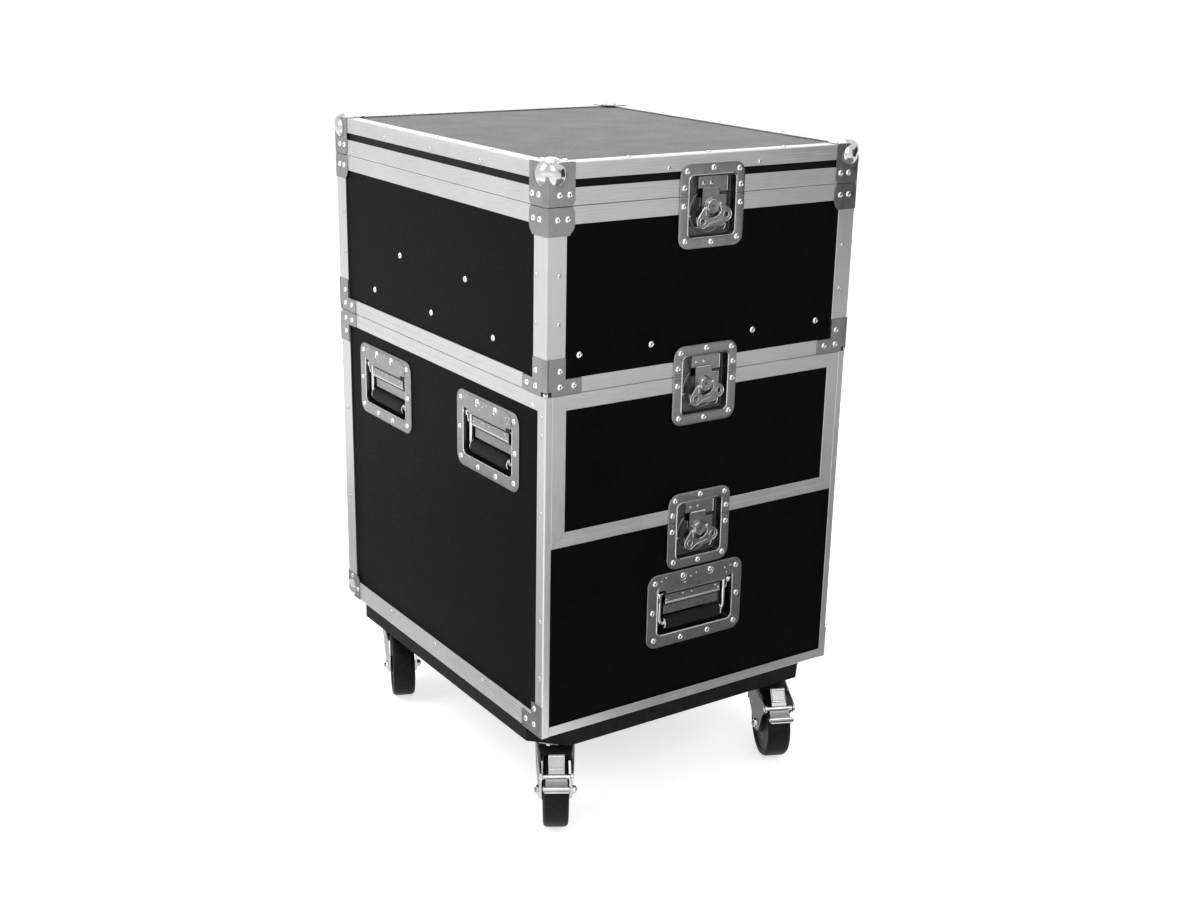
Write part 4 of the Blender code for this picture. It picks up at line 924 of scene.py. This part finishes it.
KNOB_PROFILE = mm([(8.7, -5.2), (9.3, -4.9), (9.5, -4.4), (9.3, -3.9), (7.6, -3.7), (7.6, 1.7), (5.0, 1.7),
                   (5.0, 4.0), (7.8, 4.0), (7.8, 10.2)])
KNOB_FACE = mm([(0, -4.5), (2.6, -4.5), (2.8, -4.9), (5.9, -5.0), (6.2, -4.7), (6.6, -4.7), (6.9, -5.1),
                (8.8, -5.2)])


def wing_outline():
    ear = arc((EAR_X, EAR_Z), 0.0098, 50, -110, 12)
    half = mm([(10.2, 2.6), (14.2, 2.6)]) + ear + mm([(9, -22.5)])
    notch = arc((0, 0), 0.0155, 215, 325, 12)
    return (half + [(-x, z) for x, z in reversed(half)] + notch)[::-1]


def latch_half(build, seat, level, above, spots, bead):
    """Half of a latch's dish with its rim, its rivets and a bead at each side of the joint."""
    # The pan's walls and floor take painted shade, and its rim a painted highlight.
    build.add(halved(pressed_dish(LATCH_OUTER, LATCH_PAN, 0.0105), level, above), "zinc", seat, sunk)
    build.add(halved(pan_rim(LATCH_PAN), level, above), "bright", seat)
    rivets(build, seat, spots, depth=FLANGE_Y)
    for sign in (-1, 1):
        build.add(tube(mm([(sign * 52.8, -1.4, bead), (sign * 41.5, -1.4, bead)]), 0.0011, 8), "zinc", seat)


def build_latch(name, side, level, upper, lower):
    """Parted dish with keeper and bracket, hook plate, turning knob and folding wing."""
    seat = face_matrix(side) @ shift(0, 0, level)
    build = Build(name + "_keeper")
    latch_half(build, seat, GAP, True, KEEPER_RIVETS, 3.8)
    build.add(plate(KEEPER_OUTLINE, 0.0106, 0.0042, 0.0007), "zinc", seat)
    # Bright bar along the keeper's right edge: a painted highlight.
    build.add(tube(mm([(28.8, 4.7, 3.4), (28.8, 4.7, 22.6)]), 0.0008, 8), "bright", seat)
    domes(build, seat, mm([(-11.8, 15.4), (1.2, 15.4)]), 0.0042, 0.0027, 0.0004)
    build.finish(upper, (name + "_keeper_dish",))

    build = Build(name + "_cam")
    latch_half(build, seat, -GAP, False, CAM_RIVETS, -4.5)
    build.add(pierced(BRACKET_OUTLINE, (ring((0, SPINDLE_Z), 0.0085, 24),), 0.0106, 0.0052), "zinc", seat)
    # Bright bead round the bracket's edge: a painted highlight.
    build.add(hoop(BRACKET_OUTLINE, 0.0056, 0.0007, 6), "bright", seat)
    for centre, radius, start, end, steps, depth, key in (
        ((0, -23), 29.5, 129, 411, 36, 10.4, "zinc"),
        ((-28.5, -35.5), 6.8, 70, 265, 12, 9.2, "bright"),
        ((25.5, -44), 6.2, -75, 95, 12, 9.2, "bright"),
    ):
        wire = mm([(x, depth, z) for x, z in arc(centre, radius, start, end, steps)])
        build.add(tube(wire, 0.0011, 8), key, seat)
    build.finish(lower, (name + "_cam_dish",))

    build = Build(name + "_hook_plate")
    slot = arc((0, SPINDLE_Z), 0.0054, 0, 180, 8) + arc((0, SPINDLE_Z - 0.008), 0.0054, 180, 360, 8)
    outline = rounded(-0.014, 0.014, -0.0344, 0.0088, 0.0012, 3)
    build.add(pierced(outline, (slot,), 0.0036, 0.0021), "zinc", seat)
    build.add(tube(mm([(-12.8, 2.4, 8.5), (12.8, 2.4, 8.5)]), 0.0012, 10), "bright", seat)
    build.finish(name + "_hook_body", (name + "_hook",))

    shaft = seat @ shift(0, 0, SPINDLE_Z) @ turned(-11, "Y")
    build = Build(name + "_knob")
    build.add(revolve(KNOB_PROFILE, 36), "bright", shaft, knob_neck)
    for radius, depth in mm([(9.0, -2.5), (9.4, -0.5), (10.6, 1.3)]):
        build.add(hoop(ring((0, 0), radius, 36), depth, 0.0005), "rivet", shaft)
    build.add(revolve(KNOB_FACE, 36), "zinc", shaft)
    build.add(tube(mm([(-14.7, -2.9, 0), (14.7, -2.9, 0)]), 0.0013, 10), "bright", shaft)
    # Near-black cross in the knob's face: painted shade in its slots.
    cross = plate(rounded(-0.0023, 0.0023, -0.0004, 0.0004, 0.0003, 2), -0.0042, -0.0046, 0.0001)
    for angle in (34, 124):
        build.add(cross, "dark_shade", shaft @ turned(angle, "Y"))
    build.finish(name + "_spindle_body", (name + "_spindle",))

    build = Build(name + "_butterfly")
    outline = wing_outline()
    holes = [ring((x, EAR_Z), 0.0038, 20) for x in (-EAR_X, EAR_X)]
    build.add(pierced(outline, holes, -0.0022, -0.0034), "zinc", shaft)
    # Bright beads round the wing's edge and its ear holes: painted highlights.
    build.add(hoop(shrink(outline, 0.0007), WING_Y, 0.0008), "bright", shaft)
    for x, angle in ((-EAR_X, 180), (EAR_X, 0)):
        build.add(hoop(ring((x, EAR_Z), 0.0044, 20), -0.0030, 0.0007), "bright", shaft)
        build.add(along_x(0.0025, 0.0102, 0.0141), "bright", shaft @ shift(0, WING_Y, 0) @ turned(angle, "Z"))
    build.finish(name + "_wing_body", (name + "_wing",))


# Recessed sprung handles

SIDE_HANDLE_Z = MID_Z - 0.0965
HANDLES = (
    ("left_front_handle", "left", 0.156, SIDE_HANDLE_Z, "base"),
    ("left_rear_handle", "left", -0.156, SIDE_HANDLE_Z, "base"),
    ("right_front_handle", "right", -0.156, SIDE_HANDLE_Z, "base"),
    ("right_rear_handle", "right", 0.156, SIDE_HANDLE_Z, "base"),
    ("drawer_handle", "front", 0.0, BASE_Z + 0.1477, "drawer"),
)
HANDLE_OUTER = (-0.08475, 0.08475, -0.0563, 0.0563)
HANDLE_PAN = (-0.06695, 0.06695, -0.0374, 0.0374)
HANDLE_RIVETS = mm([(-72.6, 44.3), (72.6, 44.3), (-75.7, 0), (75.7, 0), (-72.6, -43.5), (72.6, -43.5),
                    (-24.4, -47.7), (24.4, -47.7)])
HANDLE_COVER = mm([(-52, 26.4), (52, 26.4), (54, 30.6), (66, 31.5), (66, 42), (63, 48), (57, 52), (50, 53),
                   (-50, 53), (-57, 52), (-63, 48), (-66, 42), (-66, 31.5), (-54, 30.6)])
COVER_MARKS = mm([(-62, 46), (-54, 50), (-10, 44), (0, 47.5), (52, 44.5), (62, 46), (-20, 37), (56, 36.5)])
LEDGE_MARKS = mm([(-47, 13), (-18, 17.5), (-2, 17), (40.5, 17.5), (46.5, 13)])
PAN_FALL = mm([(8, 7.5), (8.6, 6.5), (8.6, -11), (24.5, -15.5), (26.1, -15.5), (26.1, -14), (10, -9.5),
               (10, 7.5)])
GRIP_HALF = mm([(0, -49.6), (8.4, -49.6), (9.8, -48.8), (10.2, -47), (10.2, -45.5), (9.8, -45), (9.8, -44.5),
                (10.5, -43.8)])
GRIP_Z = -0.046


def build_handle(name, side, x, level, body):
    """Dish with its pressed cover plate, and the sprung bail with a rubber grip."""
    seat = face_matrix(side) @ shift(x, 0.002, level)
    build = Build(name + "_recess")
    # The pan's walls and floor take painted shade, and its rim a painted highlight.
    build.add(pressed_dish(HANDLE_OUTER, HANDLE_PAN, 0.026), "zinc", seat, sunk)
    build.add(pan_rim(HANDLE_PAN), "bright", seat)
    build.add(plate(HANDLE_COVER, -0.0014, -0.0026, 0.0005), "zinc", seat)
    build.add(along_x(0.0017, -0.052, 0.052), "zinc", seat @ shift(0, -0.0011, 0.0270))
    rivets(build, seat, mm([(-24.4, 48.3), (24.4, 48.3)]), depth=COVER_Y)
    for spot in (-0.0244, 0.0244):
        keyhole = arc((spot, 0.0468), 0.0062, 200, 385, 12)
        build.add(tube([(a, COVER_Y, b) for a, b in keyhole], 0.0007, 6), "bright", seat)
    domes(build, seat, COVER_MARKS, COVER_Y, 0.0014, 0.0006)
    # The zinc ledge, then two near-black plates: painted shade in the slit behind the ledge and in the line
    # under its roll.
    for half, low, high, back, front, edge, key in (
        (49.5, 8, 20.4, 4.8, 3.9, 0.3, "zinc"),
        (52, 19, 31, 6.2, 5.0, 0.2, "dark_shade"),
        (49, 2.6, 7, 8.6, 7.9, 0.1, "dark_shade"),
    ):
        outline = mm([(-half, low), (half, low), (half, high), (-half, high)])
        build.add(plate(outline, back / 1000, front / 1000, edge / 1000), key, seat)
    # Bright roll along the ledge's lower edge: a painted highlight band.
    build.add(along_x(0.0028, -0.0495, 0.0495, 20), "bright", seat @ shift(0, 0.0060, 0.0082))
    build.add(plate(PAN_FALL, 0.0495, -0.0495, 0.0004), "zinc", leg_matrix(seat, 1))
    domes(build, seat, LEDGE_MARKS, 0.0039, 0.0019, 0.0011)
    rivets(build, seat, HANDLE_RIVETS, depth=FLANGE_Y)
    build.finish(body, (name + "_dish",))

    build = Build(name + "_grip")
    axle = seat @ shift(0, 0.007, 0.022)
    squash = Matrix.Diagonal((1, 0.80, 1, 1))
    build.add(along_x(0.0019, -0.0664, 0.0664), "bright", axle)
    for sign in (-1, 1):
        bend = [(sign * a, 0, b) for a, b in arc((0.050, -0.038), 0.008, -90, 0, 8)]
        path = [(sign * 0.040, 0, GRIP_Z)] + bend + [(sign * 0.058, 0, 0.0)]
        build.add(tube(path, 0.0030, 12), "bright", axle)
        coil = []
        for k in range(43):
            angle = 2 * math.pi * k / 12
            x = 0.0614 + 0.0044 * k / 42
            coil.append((sign * x, 0.0052 * math.cos(angle), 0.0052 * math.sin(angle)))
        build.add(tube(coil, 0.0006, 6), "rivet", axle)
        tail = mm([(sign * 61.4, -3.0, 3.0), (sign * 60.6, -4.4, -4), (sign * 60.6, -3.4, -12)])
        build.add(tube(tail, 0.0007, 6), "rivet", axle)
        cap = along_x(0.0088, -0.0012, 0.0012, 20, 0.0005)
        build.add(cap, "bright", axle @ shift(sign * 0.0505, 0, GRIP_Z) @ squash)
    squash = Matrix.Diagonal((1, 0.0080 / 0.0105, 1, 1))
    build.add(about_x(both_ends(GRIP_HALF), 28), "rubber", axle @ shift(0, 0, GRIP_Z) @ squash)
    build.finish(name + "_bail_body", (name + "_bail",))


# Swivel casters

CASTERS = (
    ("front_left", -1, -1, -31, True),
    ("front_right", 1, -1, -24, True),
    ("rear_left", -1, 1, -23, False),
    ("rear_right", 1, 1, -26, False),
)
CASTER_X = 0.1975
CASTER_Y = 0.245
AXLE_BACK = 0.040
AXLE_Z = 0.052
PIVOT_BACK = 0.080
PIVOT_Z = 0.0955
LEG_X = 0.0236
LEG_FLARE = 0.0052
BOLT_SPREAD = 0.0275
PLATE_OUTLINE = mm([(41, -23), (41, 23), (23, 41), (-23, 41), (-41, 23), (-41, -23), (-23, -41), (23, -41)])
RACE = mm([(0, 115.9), (22, 115.9), (24.5, 116.6), (25.8, 118), (26, 119.5), (26, 122.5), (25, 124),
           (25, 128)])
CROWN = mm([(0, 115), (20, 115), (26, 114.6), (28.6, 113.4), (29, 112), (28.4, 110.6), (27, 110), (0, 110)])
CROWN_BOSS = mm([(0, 100.5), (11, 100.5), (13, 102), (19, 110.5), (0, 110.5)])
WEB_OUTLINE = mm([(-22, 45), (22, 45), (25, 20), (27, 0), (26, -11), (-26, -11), (-27, 0), (-25, 20)])
AXLE_WASHER = mm([(8.2, 0.2), (8.2, -0.7), (7.7, -1.0), (0, -1.0)])
AXLE_END = mm([(3.6, -3.8), (3.6, -6.3), (3.0, -6.9), (0, -6.9)])
AXLE_HEAD = mm([(6.2, 0), (6.4, -2.6), (5.9, -4.8), (4.6, -6.6), (2.6, -7.7), (0, -8.1)])
REAR_WALL = mm([(-24.5, 71), (24.5, 71), (24.5, 111), (-24.5, 111)])
HUB_HALF = mm([(4.9, -20), (13.2, -20), (14.2, -19.4), (15.2, -16.2), (19.5, -14.6), (33, -13.4),
               (35.5, -13.8), (37.5, -15.0), (40, -15.2), (41.5, -14.6)])
TREAD_HALF = mm([(40.5, -13), (41.2, -15.6), (43.5, -17.2), (46.5, -18.0), (49.2, -17.4), (51.0, -15.2),
                 (51.8, -12), (52.0, -7)])
PEDAL_SHEET = mm([(-1, -2.4), (-4.6, -7.2), (-12, -11.2), (-12.8, -13.6), (-4, -9.8), (1.6, -3)])
PEDAL_APRON = mm([(-19.2, -10), (-19.2, -14), (-16.6, -17.4), (16.6, -17.4), (19.2, -14), (19.2, -10)])


def build_plate(name, spot):
    build = Build(name + "_top_plate")
    flat = spot @ UPRIGHT_AXIS
    build.add(plate(PLATE_OUTLINE, 0.1297, 0.1267, 0.0006), "zinc", flat)
    build.add(revolve(RACE, 36), "bright", flat)
    for sign_x, sign_y in CORNERS:
        seat = flat @ shift(sign_x * BOLT_SPREAD, 0.1267, sign_y * BOLT_SPREAD)
        build.add(plate(ring((0, 0), 0.0054, 6), 0.0, -0.0034, 0.0006), "bright", seat)
    build.finish("base", (name + "_caster_plate",))


def build_fork(name, swivel, braked):
    build = Build(name + "_fork")
    upright = swivel @ UPRIGHT_AXIS
    # Crown, web and boss in black: painted shade under the board.
    build.add(revolve(CROWN, 40), "black_and_shade", upright)
    build.add(plate(WEB_OUTLINE, 0.1122, 0.1096, 0.0006), "black_and_shade", upright)
    build.add(revolve(CROWN_BOSS, 24), "black_and_shade", upright)
    build.add(plate(ring((0, 0), 0.004464, 6), 0.1012, 0.0975, 0.0006), "bright", upright)
    outline = [(0.012, 0.1125), (-0.014, 0.1125)]
    if braked:
        outline += [(-0.040, 0.1105)] + arc((-PIVOT_BACK, PIVOT_Z), 0.0065, 80, 280, 10) + [(-0.062, 0.074)]
    else:
        outline += [(-0.046, 0.098), (-0.056, 0.078)]
    outline += arc((-AXLE_BACK, AXLE_Z), 0.0125, 190, 360, 12) + [(-0.012, 0.076), (0.006, 0.094)]
    for sign in (-1, 1):
        side = leg_matrix(swivel, sign)
        verts, faces = plate([(sign * y, z) for y, z in outline], -0.0206, -LEG_X, 0.0007)
        flared = [(x, depth - LEG_FLARE * smooth_step(sign * x, -0.048, 0.0), z) for x, depth, z in verts]
        # The legs take the darker zinc as painted shade, and their thin edge faces take the bright zinc as a
        # painted highlight.
        build.add((flared, faces), "shade", side, cheek_edge)
        axle = side @ shift(-sign * AXLE_BACK, -LEG_X, AXLE_Z)
        build.add(revolve(AXLE_WASHER, 24), "bright", axle)
        if sign < 0:
            build.add(plate(ring((0, 0), 0.0072, 6), 0.0, -0.0042, 0.0007), "bright", axle)
            build.add(revolve(AXLE_END, 16), "zinc", axle)
        else:
            build.add(revolve(AXLE_HEAD, 24), "bright", axle)
        if braked:
            domes(build, side, [(-sign * PIVOT_BACK, PIVOT_Z)], -LEG_X, 0.0042, 0.0016)
    # Black rear wall: painted shade.
    build.add(plate(REAR_WALL, 0.0115, 0.0095, 0.0005), "black_and_shade", swivel)
    build.add(along_x(0.0044, -LEG_X, LEG_X), "bright", swivel @ shift(0, -AXLE_BACK, AXLE_Z))
    if braked:
        build.add(along_x(0.0022, -0.0234, 0.0234), "bright", swivel @ shift(0, -PIVOT_BACK, PIVOT_Z))
    build.finish(name + "_swivel_body", (name + "_caster_fork",))


def build_wheel(name, swivel):
    build = Build(name + "_wheel")
    spin = swivel @ shift(0, -AXLE_BACK, AXLE_Z)
    build.add(about_x(both_ends(HUB_HALF), 56), "black_and_shade", spin)
    build.add(about_x(both_ends(TREAD_HALF, [(0.052, 0.0)]), 56), "tyre", spin)
    build.finish(name + "_wheel_body", (name + "_caster_wheel",), 40)


def build_pedal(name, swivel):
    """Brake pedal: barrel on the pivot rod, framed release tab above and foot lip below."""
    build = Build(name + "_pedal")
    pivot = swivel @ shift(0, -PIVOT_BACK, PIVOT_Z)
    build.add(about_x(both_ends(mm([(2.7, -19.8), (3.3, -19.8), (3.7, -19.2)])), 20), "bright", pivot)
    lean = pivot @ shift(0, 0.0012, 0.0030) @ turned(-33, "X")
    tab = rounded(-0.0115, 0.0115, -0.001, 0.0272, 0.0012, 4)
    build.add(plate(tab, 0.0009, -0.0006, 0.0003), "zinc", lean)
    build.add(hoop(rounded(-0.0104, 0.0104, 0.0066, 0.0258, 0.0011, 4), -0.0004, 0.0011), "bright", lean)
    for rise in (0.0072, 0.0250):
        build.add(along_x(0.0017, -0.0108, 0.0108), "bright", lean @ shift(0, -0.0003, rise))
    build.add(plate(PEDAL_SHEET, 0.0155, -0.0155, 0.0008), "zinc", leg_matrix(pivot, 1))
    build.add(along_x(0.0027, -0.0197, 0.0197, 20, 0.0012), "bright", pivot @ shift(0, -0.0150, -0.0105))
    build.add(plate(PEDAL_APRON, -0.0140, -0.0172, 0.0008), "zinc", pivot)
    build.add(along_x(0.0010, -0.0170, 0.0170), "bright", pivot @ shift(0, -0.0168, -0.0160))
    build.finish(name + "_pedal_body", (name + "_brake_pedal",))


for latch in LATCHES:
    build_latch(*latch)
for handle in HANDLES:
    build_handle(*handle)
for caster, sign_x, sign_y, heading, braked in CASTERS:
    spot = shift(sign_x * CASTER_X, SHIFT + sign_y * CASTER_Y, 0)
    swivel = spot @ turned(heading, "Z")
    build_plate(caster, spot)
    build_fork(caster, swivel, braked)
    build_wheel(caster, swivel)
    if braked:
        build_pedal(caster, swivel)

material_swap()
build_lid_frames()
build_upper_frame()
build_base_frame()
build_panel_rivets()


# Camera and studio

IMAGE_WIDTH = 1200
FOCAL_PIXELS = 1577.737
SENSOR = 36
CAMERA_SPOT = (-1.30847, -1.96928 + SHIFT, 1.05063 + BASE_Z)
YAW, PITCH, ROLL = (math.radians(angle) for angle in (34.358, 17.712, 1.2141))
AMBIENT = 0.55
FLOOR_LIFT = 0.64


def add_to_scene(name, data):
    made = bpy.data.objects.new(name, data)
    bpy.context.scene.collection.objects.link(made)
    return made


def aim(made, spot, target, front):
    made.location = spot
    made.rotation_euler = (Vector(target) - Vector(spot)).to_track_quat(front, "Y").to_euler()


def add_camera():
    right = Vector((math.cos(YAW), -math.sin(YAW), 0))
    ahead = Vector((math.sin(YAW) * math.cos(PITCH), math.cos(YAW) * math.cos(PITCH), -math.sin(PITCH)))
    up = right.cross(ahead)
    axis_x = right * math.cos(ROLL) + up * math.sin(ROLL)
    axis_y = up * math.cos(ROLL) - right * math.sin(ROLL)
    data = bpy.data.cameras.new("camera")
    data.sensor_width = SENSOR
    data.lens = FOCAL_PIXELS / IMAGE_WIDTH * SENSOR
    data.clip_end = 300
    matrix = Matrix((axis_x, axis_y, -ahead)).transposed().to_4x4()
    matrix.translation = CAMERA_SPOT
    made = add_to_scene("camera", data)
    made.matrix_world = matrix
    bpy.context.scene.camera = made


def area_light(name, spot, target, size, energy):
    data = bpy.data.lights.new(name, "AREA")
    data.shape = "RECTANGLE"
    data.size, data.size_y = size
    data.energy = energy
    aim(add_to_scene(name, data), spot, target, "-Z")


def stage_piece(name, bm, material):
    """Piece of the studio from a bmesh, in one material."""
    mesh = bpy.data.meshes.new(name)
    bm.to_mesh(mesh)
    bm.free()
    mesh.materials.append(material)
    return add_to_scene(name, mesh)


def card(name, spot, target, size, level):
    """Plain studio card that only reflections see."""
    material, tree, shader = new_material(name)
    feed(tree, shader, {"Base Color": (level, level, level, 1), "Roughness": 1.0})
    bm = bmesh.new()
    bmesh.ops.create_grid(bm, x_segments=1, y_segments=1, size=0.5)
    made = stage_piece(name, bm, material)
    made.scale = (*size, 1)
    aim(made, spot, target, "Z")
    made.visible_camera = False
    made.visible_shadow = False
    made.visible_diffuse = False


def seen_directly(tree):
    """1 where a camera, glossy or transmission ray looks."""
    rays = node(tree, "ShaderNodeLightPath", {}).outputs
    seen = calculate(tree, "MAXIMUM", rays["Is Camera Ray"], rays["Is Glossy Ray"])
    return calculate(tree, "MAXIMUM", seen, rays["Is Transmission Ray"])


def build_studio():
    world = bpy.data.worlds.new("studio")
    bpy.context.scene.world = world
    world.use_nodes = True
    tree = world.node_tree
    ambient = tree.nodes["Background"]
    feed(tree, ambient, {"Color": (1, 1, 1, 1), "Strength": AMBIENT})
    white = node(tree, "ShaderNodeBackground", {"Color": (1, 1, 1, 1)})
    blend = {0: seen_directly(tree), 1: ambient.outputs[0], 2: white.outputs[0]}
    mixed = node(tree, "ShaderNodeMixShader", blend)
    feed(tree, tree.nodes["World Output"], {"Surface": mixed.outputs[0]})

    material, tree, shader = new_material("pale_floor")
    shader.inputs["Specular IOR Level"].default_value = 0.0
    feed(tree, shader, {
        "Base Color": (0.86, 0.86, 0.86, 1),
        "Roughness": 0.9,
        "Emission Color": (1, 1, 1, 1),
        "Emission Strength": calculate(tree, "MULTIPLY", seen_directly(tree), FLOOR_LIFT),
    })
    bm = bmesh.new()
    bmesh.ops.create_circle(bm, cap_ends=True, segments=64, radius=90)
    floor = stage_piece("floor", bm, material)

    area_light("key", (-2.2, 0.6, 2.2), (0, 0, 0.5), (1.8, 1.8), 34)
    area_light("fill", (-0.6, -2.6, 2.2), (0, 0, 0.5), (1.6, 1.6), 26)
    area_light("top", (0.2, 0.6, 2.8), (0, 0, 0.9), (1.6, 1.6), 22)
    area_light("rear", (1.75, 2.6, 2.1), (0, 0, 0.95), (2.4, 1.6), 25)
    card("side_card", (2.6, -1.9, 0.9), (0, -0.3, 0.5), (2.4, 2.6), 0.03)
    card("low_card", (0.80, -1.20, 0.02), (0.80, -1.20, 1.0), (1.7, 1.6), 0.25)
    card("left_card", (-0.80, 0.60, 0.02), (-0.80, 0.60, 1.0), (0.9, 1.4), 0.52)


add_camera()
build_studio()

bpy.context.scene.view_settings.view_transform = "Standard"
